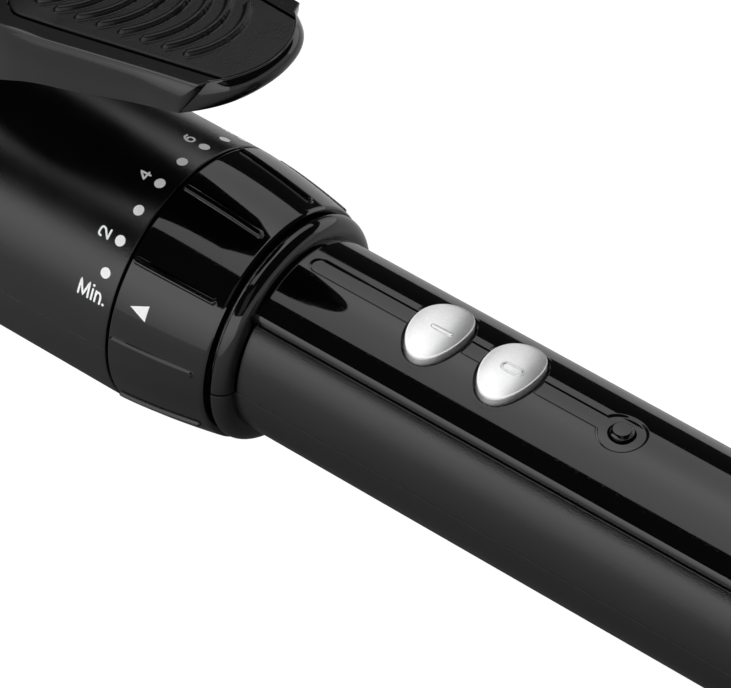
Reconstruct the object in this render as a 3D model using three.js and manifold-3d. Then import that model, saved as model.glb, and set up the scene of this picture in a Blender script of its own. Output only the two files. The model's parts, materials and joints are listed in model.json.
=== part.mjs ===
// A curling tong with a clamp: heated barrel, sprung clamp and thumb lever, temperature dial,
// handle with on and off buttons, swivelling cord gland and a fold-out rest.
// Units are millimetres. In the "axis frame" the barrel's axis is X, with x = 0 at the row of
// temperature dots and +X towards the cord; +Z is the side with the lever and the buttons, and
// angles are measured about X from +Z towards -Y. The whole object then leans back by LEAN, so
// that the rest's foot and the end of the handle both stand on the plane z = 0.
import * as THREE from 'three';
import Module from 'manifold-3d';
import { mergeVertices } from 'three/addons/utils/BufferGeometryUtils.js';

const wasm = await Module();
wasm.setup();

// ---------------------------------------------------------------- driving dimensions
const SEGMENTS = 32;
const GAP = 0.35;
const NECK_RADIUS = 22;
const NECK_FRONT = -58;
const NECK_REAR = 2.9;
const BARREL_RADIUS = 16;
const BARREL_WALL = 1.1;
const BARREL_FRONT = -180;
const BARREL_REAR = -41.4;
const TIP_END = -197.2;
const DIAL_FRONT = 3.25;
const DIAL_REAR = 20.2;
const DIAL_DROP = 2.3;
const DIAL_RIBS = 10;
const DIAL_RIB_START = 10;
const DIAL_BORE = 17.6;
const HANDLE_RADIUS = 16.35;
const HANDLE_BORE = 14;
const HANDLE_REAR = 146.2;
const COLLAR_FRONT = 20.95;
const COLLAR_REAR = 23.8;
const COVER_HALF_ANGLE = 46;
const COVER_BORE = 15.2;
const COVER_REAR = 135.7;
const POCKET_RADIUS = 14.9;
const BUTTON_ON_X = 49.5;
const BUTTON_OFF_X = 62.8;
const BUTTON_HALF_LENGTH = 4.5;
const BUTTON_HALF_WIDTH = 6.7;
const BUTTON_TOP = 17.5;
const BUTTON_MIDDLE = 16.7;
const BUTTON_DISH = 12.6;
const LAMP_X = 82.7;
const LAMP_RADIUS = 2;
const LAMP_RING = 3.8;
const CHANNEL_START = 27.5;
const CHANNEL_HALF_WIDTH = 1.5;
const CHANNEL_FLOOR = 15.9;
const HINGE_X = -62;
const HINGE_Z = 24;
const KNUCKLE_RADIUS = 3.7;
const KNUCKLE_HALF_WIDTH = 5.6;
const HINGE_PIN_RADIUS = 1.5;
const LEVER_TOP_AT_ZERO = 51;
const LEVER_SLOPE = 0.1;
const LEVER_END_X = 18.9;
const JAW_INNER = 16.4;
const JAW_OUTER = 17.4;
const JAW_HALF_ANGLE = 50;
const RIVET_REAR_X = -76;
const RIVET_FRONT_X = -82;
const STAND_X = -50;
const STAND_Z = -24.6;
const STAND_PIN_RADIUS = 1.25;
const FOOT_X = -58;
const FOOT_Z = -38;
const HANDLE_REST_X = 140;
const GEAR_MODULE = 0.8;
const RING_TEETH = 36;
const RING_GEAR_RADIUS = 18.85;
const PINION_TEETH = 18;
const PINION_SHAFT = 1.5;
const TOOTH_TIP = 0.6;
const TOOTH_ROOT = 0.95;
const GEAR_FRONT = 4.3;
const GEAR_REAR = 7.8;
const PINION_Z = 7.2;
const LEAD_RADIUS = 0.9;
const LEAD_Y = 10.5;
const LEAD_Z = -1;
const BOARD_TOP = 6;
const GLAND_BORE = 3.2;
const GLAND_MOUTH = 4.3;
const FRONT_SCREW_X = 30;
const REAR_SCREW_X = 118;
const NECK_SCREW_X = -38;
const FOOT_SLOPE = (FOOT_Z + HANDLE_RADIUS) / (FOOT_X - HANDLE_REST_X);
const LEAN = Math.atan(FOOT_SLOPE);

// ---------------------------------------------------------------- materials
function finish(name, color, roughness, metalness = 0) {
  return new THREE.MeshStandardMaterial({ name, color, roughness, metalness });
}
const satinBlack = finish('satin_black', 0x1c1c1d, 0.5);
const glossBlack = finish('gloss_black', 0x0b0b0c, 0.1);
const pearlSilver = finish('pearl_silver', 0xd6d6d6, 0.35, 0.4);
const lampBlack = finish('lamp_black', 0x080808, 0.08);
const coatedBarrel = finish('coated_barrel', 0x3a3a3d, 0.3, 0.6);
const steel = finish('steel', 0xb9bcc0, 0.35, 1);
const aluminium = finish('aluminium', 0xc9ccd0, 0.4, 1);
const brass = finish('brass', 0xc9a24b, 0.35, 1);
const ceramic = finish('ceramic', 0xe8e2d4, 0.6);
const whiteNylon = finish('white_nylon', 0xe6e4dc, 0.5);
const boardGreen = finish('board_green', 0x1f5a34, 0.5);
const redSleeve = finish('red_sleeve', 0x8c1d18, 0.6);

// ---------------------------------------------------------------- solids from geometries
function degrees(angle) {
  return (angle * Math.PI) / 180;
}

function signedVolume(position, triangles) {
  let total = 0;
  const corner = (i) => new THREE.Vector3().fromArray(position, 3 * i);
  for (let i = 0; i < triangles.length; i += 3) {
    const [a, b, c] = [triangles[i], triangles[i + 1], triangles[i + 2]].map(corner);
    total += a.dot(b.cross(c)) / 6;
  }
  return total;
}

function solid(geometry) {
  const bare = new THREE.BufferGeometry();
  bare.setAttribute('position', geometry.getAttribute('position'));
  bare.setIndex(geometry.getIndex());
  const merged = mergeVertices(bare, 1e-4);
  const index = merged.getIndex().array;
  const position = Float32Array.from(merged.getAttribute('position').array);
  const triangles = [];
  for (let i = 0; i < index.length; i += 3) {
    const [a, b, c] = [index[i], index[i + 1], index[i + 2]];
    if (a !== b && b !== c && c !== a) {
      triangles.push(a, b, c);
    }
  }
  if (signedVolume(position, triangles) < 0) {
    triangles.reverse();
  }
  const triVerts = Uint32Array.from(triangles);
  return new wasm.Manifold(new wasm.Mesh({ numProp: 3, vertProperties: position, triVerts }));
}

function joined(...solids) {
  return solids.reduce((whole, next) => whole.add(next));
}

function box(x0, x1, y0, y1, z0, z1) {
  const geometry = new THREE.BoxGeometry(x1 - x0, y1 - y0, z1 - z0);
  geometry.translate((x0 + x1) / 2, (y0 + y1) / 2, (z0 + z1) / 2);
  return solid(geometry);
}

function latheGeometry(profile, segments) {
  const onAxis = profile[0][1] === 0;
  const points = onAxis ? profile : [...profile, profile[0]];
  return new THREE.LatheGeometry(points.map(([along, r]) => new THREE.Vector2(r, along)), segments);
}

// A profile of [x, radius] turned about the X axis.
function turned(profile, segments = SEGMENTS) {
  return solid(latheGeometry(profile, segments).rotateZ(-Math.PI / 2));
}

// A profile of [z, radius] turned about the vertical through (x, y).
function turnedUp(profile, x, y = 0, segments = 16) {
  return solid(latheGeometry(profile, segments).rotateX(Math.PI / 2).translate(x, y, 0));
}

function tube(inner, outer, x0, x1, segments = SEGMENTS) {
  return turned([[x0, inner], [x0, outer], [x1, outer], [x1, inner]], segments);
}

function rodX(radius, x0, x1, y = 0, z = 0, segments = 16) {
  const geometry = latheGeometry([[x0, 0], [x0, radius], [x1, radius], [x1, 0]], segments);
  return solid(geometry.rotateZ(-Math.PI / 2).translate(0, y, z));
}

function rodY(radius, y0, y1, x, z, segments = 16) {
  const geometry = latheGeometry([[y0, 0], [y0, radius], [y1, radius], [y1, 0]], segments);
  return solid(geometry.translate(x, 0, z));
}

function rodZ(radius, z0, z1, x, y = 0, segments = 16) {
  return turnedUp([[z0, 0], [z0, radius], [z1, radius], [z1, 0]], x, y, segments);
}

function polygon(points) {
  return new THREE.Shape(points.map(([a, b]) => new THREE.Vector2(a, b)));
}

const X = new THREE.Vector3(1, 0, 0);
const Y = new THREE.Vector3(0, 1, 0);
const Z = new THREE.Vector3(0, 0, 1);

function extruded(shape, depth, right, up, out, origin) {
  const geometry = new THREE.ExtrudeGeometry(shape, { depth, bevelEnabled: false, curveSegments: 8 });
  const frame = new THREE.Matrix4().makeBasis(right, up, out).setPosition(origin);
  return solid(geometry.applyMatrix4(frame));
}

// A shape in (y, z) extruded along X, in (x, z) along Y, or in (x, y) along Z.
function extrudedX(shape, x0, x1) {
  return extruded(shape, x1 - x0, Y, Z, X, new THREE.Vector3(x0, 0, 0));
}
function extrudedY(shape, y0, y1) {
  return extruded(shape, y1 - y0, X, Z, Y.clone().negate(), new THREE.Vector3(0, y1, 0));
}
function extrudedZ(shape, z0, z1) {
  return extruded(shape, z1 - z0, X, Y, Z, new THREE.Vector3(0, 0, z0));
}

// The wedge of space within an angle either side of the top.
function wedge(halfAngle, x0, x1) {
  const reach = 60;
  const side = reach * Math.sin(degrees(halfAngle));
  const height = reach * Math.cos(degrees(halfAngle));
  return extrudedX(polygon([[0, 0], [side, height], [-side, height]]), x0, x1);
}

function above(z) {
  return box(-300, 300, -60, 60, z, 80);
}
function below(z) {
  return box(-300, 300, -60, 60, -80, z);
}

function wire(points, radius, steps, sides) {
  const section = new THREE.Shape();
  section.absarc(0, 0, radius, 0, 2 * Math.PI);
  const extrudePath = new THREE.CatmullRomCurve3(points.map((p) => new THREE.Vector3(...p)));
  const options = { steps, extrudePath, curveSegments: sides / 2, bevelEnabled: false };
  return solid(new THREE.ExtrudeGeometry(section, options));
}

const axisFrame = new THREE.Group();

function piece(name, body, material) {
  const shape = body.getMesh();
  const geometry = new THREE.BufferGeometry();
  geometry.setAttribute('position', new THREE.BufferAttribute(shape.vertProperties, 3));
  geometry.setIndex(new THREE.BufferAttribute(shape.triVerts, 1));
  geometry.computeVertexNormals();
  const mesh = new THREE.Mesh(geometry, material);
  mesh.name = name;
  axisFrame.add(mesh);
}

// ---------------------------------------------------------------- barrel and heater
function barrelTube() {
  return tube(BARREL_RADIUS - BARREL_WALL, BARREL_RADIUS, BARREL_FRONT, BARREL_REAR);
}

function coolTip() {
  const inner = [[-194.6, 0], [-194, 6], [-190, 10.8], [-184, 12.6], [-172, 12.6]];
  const spigot = [[-172, 14.5], [BARREL_FRONT - GAP, 14.5]];
  const dome = [[BARREL_FRONT - GAP, 15.9], [-186, 15.6], [-191.5, 13.8], [-195.2, 10.2]];
  return turned([...inner, ...spigot, ...dome, [-196.8, 5.4], [TIP_END, 0]]);
}

function heatSpreader(side) {
  const reach = wedge(55, -160, -78);
  const shell = tube(13.2, 14.5, -160, -78).intersect(reach);
  const web = box(-160, -78, -1, 1, 3, 13.8);
  const shoe = box(-160, -78, -6, 6, 2.2, 3.8);
  const upper = joined(shell, web, shoe);
  return side > 0 ? upper : upper.rotate([180, 0, 0]);
}

function heaterLead(side) {
  const y = side * LEAD_Y;
  const route = [
    [-84.6, side * 4, 0], [-79, side * 5, 0], [-70, side * 8.5, -0.6], [-60, y, LEAD_Z],
    [-20, y, LEAD_Z], [26, y, LEAD_Z], [37, side * 10, 0.8], [44, side * 9.5, 3],
  ];
  return wire(route, LEAD_RADIUS, 18, 6);
}

// ---------------------------------------------------------------- neck and chassis
function neckSleeve() {
  const outside = [[NECK_FRONT, 16.9], [NECK_FRONT, 19.4], [-57.4, 20.2], [-46, NECK_RADIUS]];
  const rear = [[NECK_REAR, NECK_RADIUS], [NECK_REAR, 20]];
  const inside = [[-47, 20], [-47, 18.8], [-56, 18.8], [-56, 16.9]];
  const lug = box(STAND_X - 3, STAND_X + 3, -5, 5, STAND_Z, -20.6);
  const eye = rodY(3, -5, 5, STAND_X, STAND_Z);
  const pinHole = rodY(STAND_PIN_RADIUS + GAP, -6, 6, STAND_X, STAND_Z);
  const screwHole = rodZ(1.5, -24, -18, NECK_SCREW_X);
  const screwSeat = rodZ(2.5, -24, -20.7, NECK_SCREW_X);
  const sleeve = joined(turned([...outside, ...rear, ...inside]), lug, eye);
  return sleeve.subtract(joined(screwHole, screwSeat)).subtract(pinHole);
}

function chassis() {
  const frontDisc = rodX(19.6, -41, -35, 0, 0, SEGMENTS);
  const spigot = tube(12.5, 14.5, -52, -40.5);
  const beam = box(-36, 36, -7, 7, -10, -2.5);
  const rearDisc = rodX(17.2, 18, 20.6, 0, 0, SEGMENTS);
  const bearing = tube(15.3, 17.2, 9.4, 18.5);
  const wireHoles = joined(
    rodX(1.5, -45, 25, LEAD_Y, LEAD_Z, 12),
    rodX(1.5, -45, 25, -LEAD_Y, LEAD_Z, 12),
  );
  const detentWindow = box(11, 17.4, -6, 6, -18, -12.4);
  const screwHoles = joined(
    rodZ(1.5, -20, -13.4, NECK_SCREW_X, 0, 12),
    rodZ(1.5, -11, -4, FRONT_SCREW_X, 0, 12),
  );
  return joined(frontDisc, spigot, beam, rearDisc, bearing)
    .subtract(wireHoles)
    .subtract(detentWindow)
    .subtract(screwHoles);
}

// A pan-head screw pointing up, its head's lower face at z0.
function screwUp(x, z0, headHeight, headRadius, shankTop) {
  const top = z0 + headHeight;
  const head = [[z0, 0], [z0, headRadius - 0.5], [z0 + 0.4, headRadius], [top, headRadius]];
  const shank = [[top, 1.15], [shankTop - 0.8, 1.15], [shankTop, 0.4], [shankTop, 0]];
  return turnedUp([...head, ...shank], x);
}

// ---------------------------------------------------------------- temperature dial
function dialRadius(x) {
  const t = Math.max(0, x - DIAL_FRONT) / (DIAL_REAR - DIAL_FRONT);
  return NECK_RADIUS - DIAL_DROP * t ** 1.5;
}

function temperatureDial() {
  const outside = [];
  const steps = 6;
  for (let i = 0; i <= steps; i++) {
    const x = DIAL_FRONT + ((DIAL_REAR - DIAL_FRONT) * i) / steps;
    outside.push([x, dialRadius(x)]);
  }
  const inside = [[DIAL_REAR, DIAL_BORE], [8.6, DIAL_BORE], [8.6, 19.2], [DIAL_FRONT, 19.2]];
  let dial = turned([...outside, ...inside]);
  for (let i = 0; i < DIAL_RIBS; i++) {
    dial = dial.add(dialRib().rotate([DIAL_RIB_START + (360 * i) / DIAL_RIBS, 0, 0]));
  }
  return dial;
}

function dialRib() {
  const stations = [3.6, 9, 14, 18.4];
  const ridge = stations.map((x) => [x, dialRadius(x) + 0.4]);
  const root = stations.map((x) => [x, dialRadius(x) - 0.5]).reverse();
  return extrudedY(polygon([...ridge, ...root]), -0.55, 0.55);
}

// A gear's outline: slim straight teeth, which run with clearance on both flanks. A tooth's
// corners are given as [share of the pitch from its middle, radius].
function toothedOutline(teeth, rootRadius, tipRadius, phase) {
  const pitch = (2 * Math.PI) / teeth;
  const tooth = [[-0.2, rootRadius], [-0.09, tipRadius], [0.09, tipRadius], [0.2, rootRadius]];
  const points = [];
  for (let i = 0; i < teeth; i++) {
    for (const [share, radius] of tooth) {
      const angle = (i + phase + share) * pitch;
      points.push([radius * Math.sin(angle), radius * Math.cos(angle)]);
    }
  }
  return points;
}

function dialRingGear() {
  const pitchRadius = (GEAR_MODULE * RING_TEETH) / 2;
  const shape = new THREE.Shape();
  shape.absarc(0, 0, RING_GEAR_RADIUS, 0, 2 * Math.PI);
  const teeth = toothedOutline(RING_TEETH, pitchRadius + TOOTH_ROOT, pitchRadius - TOOTH_TIP, 0);
  shape.holes.push(polygon(teeth));
  return extrudedX(shape, GEAR_FRONT, GEAR_REAR);
}

function dialPinion() {
  const pitchRadius = (GEAR_MODULE * PINION_TEETH) / 2;
  const teeth = toothedOutline(PINION_TEETH, pitchRadius - TOOTH_ROOT, pitchRadius + TOOTH_TIP, 0.5);
  const wheel = extrudedX(polygon(teeth), GEAR_FRONT, GEAR_REAR);
  return wheel.add(rodX(PINION_SHAFT, 7, 13.2)).translate([0, 0, PINION_Z]);
}

function potentiometer() {
  const can = rodX(6.2, 9.5, 17.6, 0, PINION_Z, 24);
  return can.subtract(rodX(PINION_SHAFT + GAP, 9, 13.6, 0, PINION_Z));
}

function detentSpring() {
  const outer = [[-5.2, -13.1], [-1, -16.6], [1, -16.6], [5.2, -13.1]];
  const inner = [[4.9, -12.8], [0.8, -16.2], [-0.8, -16.2], [-4.9, -12.8]];
  return extrudedX(polygon([...outer, ...inner]), 11.6, 16.8);
}

// ---------------------------------------------------------------- handle
function collarProfile() {
  const points = [[COLLAR_FRONT, 18.7], [COLLAR_FRONT + 0.4, 19.2]];
  const start = COLLAR_FRONT + 0.4;
  const rise = 19.2 - HANDLE_RADIUS;
  for (let i = 1; i <= 5; i++) {
    const angle = (Math.PI / 2) * (i / 5);
    const x = start + (COLLAR_REAR - start) * Math.sin(angle);
    points.push([x, HANDLE_RADIUS + rise * Math.cos(angle)]);
  }
  return points;
}

function rearEnd() {
  const outside = [[HANDLE_REST_X, HANDLE_RADIUS], [144, 15.5], [HANDLE_REAR, 13.5], [HANDLE_REAR, 9]];
  return [...outside, [142.8, 9], [142.8, 12], [HANDLE_REST_X, HANDLE_BORE]];
}

function glandWeb() {
  return tube(7, 14.3, 135.6, 138.5);
}

function lampHole() {
  return rodZ(LAMP_RADIUS + GAP, 10, 20, LAMP_X);
}

function handleShellLower() {
  const profile = [[COLLAR_FRONT, HANDLE_BORE], ...collarProfile(), ...rearEnd()];
  const shell = turned(profile).add(glandWeb()).intersect(below(-GAP / 2));
  let whole = shell;
  for (const x of [60, 100]) {
    const wall = rodX(14.2, x, x + 1.6, 0, 0, SEGMENTS).intersect(below(-9));
    const posts = joined(box(x, x + 1.6, -11, -8, -9.5, 4), box(x, x + 1.6, 8, 11, -9.5, 4));
    whole = joined(whole, wall, posts);
  }
  whole = whole.add(rodZ(3.6, -15, -10.4, FRONT_SCREW_X)).add(rodZ(3.6, -15, -1, REAR_SCREW_X));
  for (const x of [FRONT_SCREW_X, REAR_SCREW_X]) {
    whole = whole.subtract(rodZ(1.5, -20, 0, x, 0, 12)).subtract(rodZ(2.8, -20, -12.6, x));
  }
  return whole;
}

function handleShellUpper() {
  const front = COLLAR_REAR + GAP;
  const shell = turned([[front, HANDLE_BORE], [front, HANDLE_RADIUS], ...rearEnd()]).add(glandWeb());
  const pocket = wedge(COVER_HALF_ANGLE + 1.2, 0, COVER_REAR + GAP)
    .subtract(rodX(POCKET_RADIUS, -1, 200, 0, 0, SEGMENTS));
  const boss = rodZ(3.6, 0.5, 14.3, REAR_SCREW_X);
  const bossHole = rodZ(1.5, 0, 6.5, REAR_SCREW_X, 0, 12);
  return shell
    .intersect(above(GAP / 2))
    .subtract(pocket)
    .add(boss)
    .subtract(joined(bossHole, buttonHole(BUTTON_ON_X), buttonHole(BUTTON_OFF_X), lampHole()));
}

function handleTopCover() {
  const profile = [[COLLAR_FRONT, COVER_BORE], ...collarProfile()];
  const whole = turned([...profile, [COVER_REAR, HANDLE_RADIUS], [COVER_REAR, COVER_BORE]]);
  const strip = wedge(COVER_HALF_ANGLE, 0, 200);
  const halfCollar = box(0, COLLAR_REAR, -30, 30, GAP / 2, 30);
  const channel = box(CHANNEL_START, LAMP_X, -CHANNEL_HALF_WIDTH, CHANNEL_HALF_WIDTH, CHANNEL_FLOOR, 20);
  const channelEnd = rodZ(CHANNEL_HALF_WIDTH, CHANNEL_FLOOR, 20, CHANNEL_START);
  const lampRing = rodZ(LAMP_RING, CHANNEL_FLOOR, 20, LAMP_X, 0, 24);
  return whole
    .intersect(joined(strip, halfCollar))
    .subtract(joined(channel, channelEnd, lampRing))
    .subtract(joined(buttonHole(BUTTON_ON_X), buttonHole(BUTTON_OFF_X), lampHole()));
}

// ---------------------------------------------------------------- buttons and lamp
function buttonOutline(x, margin) {
  const points = [];
  const count = 28;
  for (let i = 0; i < count; i++) {
    const angle = (2 * Math.PI * i) / count;
    const along = (BUTTON_HALF_LENGTH + margin) * Math.cos(angle);
    points.push([x + along, (BUTTON_HALF_WIDTH + margin) * Math.sin(angle)]);
  }
  return polygon(points);
}

function buttonHole(x) {
  return extrudedZ(buttonOutline(x, GAP), 10, 22);
}

// A saddle: it crowns across the handle, and dips along it at the middle.
function pushButton(x) {
  const reach = BUTTON_HALF_LENGTH + 1;
  const crown = rodX(BUTTON_TOP, x - reach, x + reach, 0, 0, 120);
  const dish = rodY(BUTTON_DISH, -10, 10, x, BUTTON_MIDDLE + BUTTON_DISH, 64);
  const cap = extrudedZ(buttonOutline(x, 0), 13.6, 19).intersect(crown).subtract(dish);
  return cap.add(rodZ(2, 11.2, 14, x));
}

function tactSwitch(x) {
  return box(x - 3, x + 3, -3, 3, BOARD_TOP + GAP, 9.4).add(rodZ(1.6, 9, 10.2, x));
}

function lampLens() {
  const dome = [[16.2, LAMP_RADIUS], [16.8, 1.7], [17.1, 1.2], [17.15, 0]];
  return turnedUp([[10.2, 0], [10.2, 1.6], [15.2, 1.6], [15.2, LAMP_RADIUS], ...dome], LAMP_X);
}

function indicatorLed() {
  const foot = [[BOARD_TOP + GAP, 0], [BOARD_TOP + GAP, 1.9], [7.2, 1.9], [7.2, 1.5]];
  return turnedUp([...foot, [8.4, 1.5], [9.3, 1.1], [9.7, 0]], LAMP_X);
}

// ---------------------------------------------------------------- swivelling cord gland
function swivelGland() {
  const stem = [[122, GLAND_BORE], [122, 4.5], [135, 4.5], [135, 6.6], [138.9, 6.6]];
  const flange = [[138.9, 11.4], [142.4, 11.4], [142.4, 8.6]];
  const nose = [[150, 8.6], [156, 7.8], [158, 7]];
  const mouth = [[158, GLAND_MOUTH], [146, GLAND_MOUTH], [146, GLAND_BORE]];
  return turned([...stem, ...flange, ...nose, ...mouth], 24);
}

function contactBrush(side, x0) {
  const leaf = box(x0, x0 + 2.2, 6.55, 7.05, -9, 5);
  const foot = box(x0, x0 + 2.2, 6.55, 9.6, -9, -8.4);
  const brush = leaf.add(foot);
  return side > 0 ? brush : brush.mirror([0, 1, 0]);
}

// ---------------------------------------------------------------- clamp
function sector(inner, outer, halfAngle, x0, x1) {
  return tube(inner, outer, x0, x1, 48).intersect(wedge(halfAngle, x0, x1));
}

function clampJaw() {
  const jaw = sector(JAW_INNER, JAW_OUTER, JAW_HALF_ANGLE, -176, -71.4);
  const plan = new THREE.Shape();
  plan.moveTo(-71, -9);
  plan.lineTo(-84, -15);
  plan.lineTo(-166, -15);
  plan.quadraticCurveTo(-176, -14, -176.5, 0);
  plan.quadraticCurveTo(-176, 14, -166, 15);
  plan.lineTo(-84, 15);
  plan.lineTo(-71, 9);
  return jaw.intersect(extrudedZ(plan, 5, 20)).subtract(rivetHoles(20));
}

function rivetHoles(top) {
  return joined(rodZ(1.5, 10, top, RIVET_REAR_X, 0, 12), rodZ(1.5, 10, top, RIVET_FRONT_X, 0, 12));
}

function leverSide() {
  const top = [[LEVER_END_X, 52.9], [-24, 48.6], [-34, 45.4], [-46, 38], [-54, 31.4], [-59, 28.2]];
  const nose = [[-62, 27.7], [-65.6, 25.4], [-68.5, 20.9], [-68.5, 18.6], [-62.5, 18.6]];
  const throat = [[-60, 20.8], [-58.4, 23.2], [-57.6, 25.6]];
  const under = [[-46, 29], [-34, 33.4], [-24, 37.2], [-15.5, 40.9], [5, 45.4], [17.2, 47.7]];
  return polygon([...top, ...nose, ...throat, ...under]);
}

function leverPlan() {
  const plan = new THREE.Shape();
  const corner = Math.asin(12.9 / 15.9);
  plan.absarc(2.6, 0, 15.9, -corner, corner);
  plan.lineTo(-12, 17.6);
  plan.quadraticCurveTo(-24, 20, -36, 14);
  plan.quadraticCurveTo(-46, 8, -55, KNUCKLE_HALF_WIDTH);
  plan.lineTo(-70, KNUCKLE_HALF_WIDTH);
  plan.lineTo(-70, -KNUCKLE_HALF_WIDTH);
  plan.lineTo(-55, -KNUCKLE_HALF_WIDTH);
  plan.quadraticCurveTo(-46, -8, -36, -14);
  plan.quadraticCurveTo(-24, -20, -12, -17.6);
  return plan;
}

function gripOutline(margin) {
  const outline = new THREE.Shape();
  const radius = 14 + margin;
  const corner = Math.asin(8.6 / 14);
  outline.absarc(3.9, 0, radius, -corner, corner);
  outline.lineTo(-20, 13.2 + margin);
  outline.quadraticCurveTo(-27 - margin, 11 + margin, -27 - margin, 0);
  outline.quadraticCurveTo(-27 - margin, -11 - margin, -20, -13.2 - margin);
  return outline;
}

// Places what is drawn on the lever's flat top, where z = 0 is the top surface.
function onLeverTop(body) {
  const lift = (-Math.atan(LEVER_SLOPE) * 180) / Math.PI;
  return body.rotate([0, lift, 0]).translate([0, 0, LEVER_TOP_AT_ZERO]);
}

function thumbLever() {
  const arm = extrudedY(leverSide(), -20, 20).intersect(extrudedZ(leverPlan(), 10, 60));
  const nose = joined(sector(18.6, 20.8, 17, -86, -66), sector(17.75, 19.5, 17, -86, -71.6));
  const knuckle = rodY(KNUCKLE_RADIUS, -KNUCKLE_HALF_WIDTH, KNUCKLE_HALF_WIDTH, HINGE_X, HINGE_Z);
  const springRoom = box(-66.4, -57.3, -3.1, 3.1, 10, 40);
  const pinHole = rodY(HINGE_PIN_RADIUS + 0.3, -10, 10, HINGE_X, HINGE_Z);
  const pocket = onLeverTop(extrudedZ(gripOutline(0.3), -1.6, 5));
  return joined(arm, nose, knuckle)
    .subtract(springRoom)
    .subtract(pinHole)
    .subtract(rivetHoles(30))
    .subtract(pocket);
}

function gripRib(index) {
  const apex = 9.3 - 3.55 * index;
  const radius = 11.5;
  const reach = Math.asin((7.1 + 0.4 * index) / radius);
  const rib = new THREE.Shape();
  rib.absarc(apex - radius, 0, radius + 0.5, -reach, reach);
  rib.absarc(apex - radius, 0, radius - 0.5, reach, -reach, true);
  return extrudedZ(rib, -0.5, 0.8);
}

function leverGrip() {
  let pad = extrudedZ(gripOutline(0), -1.25, 0.1);
  for (let i = 0; i < 7; i++) {
    pad = pad.add(gripRib(i));
  }
  return onLeverTop(pad);
}

function hingeBracket() {
  const saddle = sector(BARREL_RADIUS + GAP, 18.2, 50, -70.5, -58.6);
  const ear = (y0, y1) => joined(
    box(HINGE_X - 3.7, HINGE_X + 3.3, y0, y1, 15.7, HINGE_Z),
    rodY(3.4, y0, y1, HINGE_X, HINGE_Z),
  );
  const pinHole = rodY(HINGE_PIN_RADIUS + 0.3, -10, 10, HINGE_X, HINGE_Z);
  return joined(saddle, ear(6, 8), ear(-8, -6)).subtract(pinHole);
}

function hingePin() {
  const heads = joined(rodY(2.4, 8.3, 9.3, HINGE_X, HINGE_Z), rodY(2.4, -9.3, -8.3, HINGE_X, HINGE_Z));
  return rodY(HINGE_PIN_RADIUS, -8.6, 8.6, HINGE_X, HINGE_Z).add(heads);
}

function clampSpring() {
  const radius = 2.5;
  const turns = 4;
  const points = [[-65, -2.3, 19.1], [-64.6, -2.3, 21.5]];
  const perTurn = 8;
  for (let i = 0; i <= turns * perTurn + 3; i++) {
    const angle = degrees(190) - (2 * Math.PI * i) / perTurn;
    const y = -2.2 + (4.4 * i) / (turns * perTurn + 3);
    points.push([HINGE_X + radius * Math.cos(angle), y, HINGE_Z + radius * Math.sin(angle)]);
  }
  return wire(points, 0.4, 56, 4);
}

function rivet(x) {
  const shank = [[16.6, 0], [16.6, 1.15], [21.1, 1.15]];
  return turnedUp([...shank, [21.1, 2.3], [21.7, 2], [22.1, 1], [22.2, 0]], x);
}

// ---------------------------------------------------------------- fold-out rest
function restStand() {
  const heel = -57.2;
  const floorAt = (x) => FOOT_Z + FOOT_SLOPE * (x - FOOT_X);
  const leg = polygon([
    [STAND_X + 0.8, STAND_Z - 0.5], [STAND_X - 0.9, STAND_Z + 0.4],
    [heel - 0.9, floorAt(heel) + 1.2], [heel + 0.9, floorAt(heel) + 0.3],
  ]);
  const foot = polygon([
    [-64, floorAt(-64)], [heel + 0.9, floorAt(heel + 0.9)],
    [heel + 0.9, floorAt(heel) + 1.7], [-64, floorAt(-64) + 1.6],
  ]);
  const rightEdge = [[8.6, -20], [8.6, -28], [20, -35.5], [20, -42]];
  const leftEdge = rightEdge.map(([y, z]) => [-y, z]).reverse();
  const front = polygon([...rightEdge, ...leftEdge]);
  const knuckle = rodY(2.6, -8.6, 8.6, STAND_X, STAND_Z);
  const blank = joined(extrudedY(leg, -20, 20), extrudedY(foot, -20, 20));
  const plate = blank.intersect(extrudedX(front, -70, -40));
  const eyeRoom = rodY(3.6, -5.4, 5.4, STAND_X, STAND_Z);
  const pinHole = rodY(STAND_PIN_RADIUS + GAP, -10, 10, STAND_X, STAND_Z);
  return joined(plate, knuckle).subtract(eyeRoom).subtract(pinHole);
}

function standPin() {
  const heads = joined(rodY(2, 8.9, 9.7, STAND_X, STAND_Z), rodY(2, -9.7, -8.9, STAND_X, STAND_Z));
  return rodY(STAND_PIN_RADIUS, -9.2, 9.2, STAND_X, STAND_Z).add(heads);
}

// ---------------------------------------------------------------- assembly
piece('barrel_tube', barrelTube(), coatedBarrel);
piece('cool_tip', coolTip(), satinBlack);
piece('heat_spreader_upper', heatSpreader(1), aluminium);
piece('heat_spreader_lower', heatSpreader(-1), aluminium);
piece('ptc_heater', box(-150, -85, -6, 6, -1.9, 1.9), ceramic);
piece('temperature_sensor', rodX(1.1, -112, -106, 8.4, 0, 12), redSleeve);
piece('thermal_fuse', rodX(1.9, -118, -107, -8.8, 0, 16), aluminium);
piece('heater_lead_left', heaterLead(-1), redSleeve);
piece('heater_lead_right', heaterLead(1), whiteNylon);
piece('insulator_ring', tube(BARREL_RADIUS + GAP, 18.4, -55.6, -48), ceramic);
piece('neck_sleeve', neckSleeve(), satinBlack);
piece('neck_screw', screwUp(NECK_SCREW_X, -21.9, 0.9, 2.15, -14), steel);
piece('chassis', chassis(), whiteNylon);
piece('temperature_dial', temperatureDial(), glossBlack);
piece('dial_ring_gear', dialRingGear(), whiteNylon);
piece('dial_pinion', dialPinion(), whiteNylon);
piece('potentiometer', potentiometer(), steel);
piece('detent_spring', detentSpring(), steel);
piece('handle_shell_lower', handleShellLower(), satinBlack);
piece('handle_shell_upper', handleShellUpper(), satinBlack);
piece('handle_top_cover', handleTopCover(), glossBlack);
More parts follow.
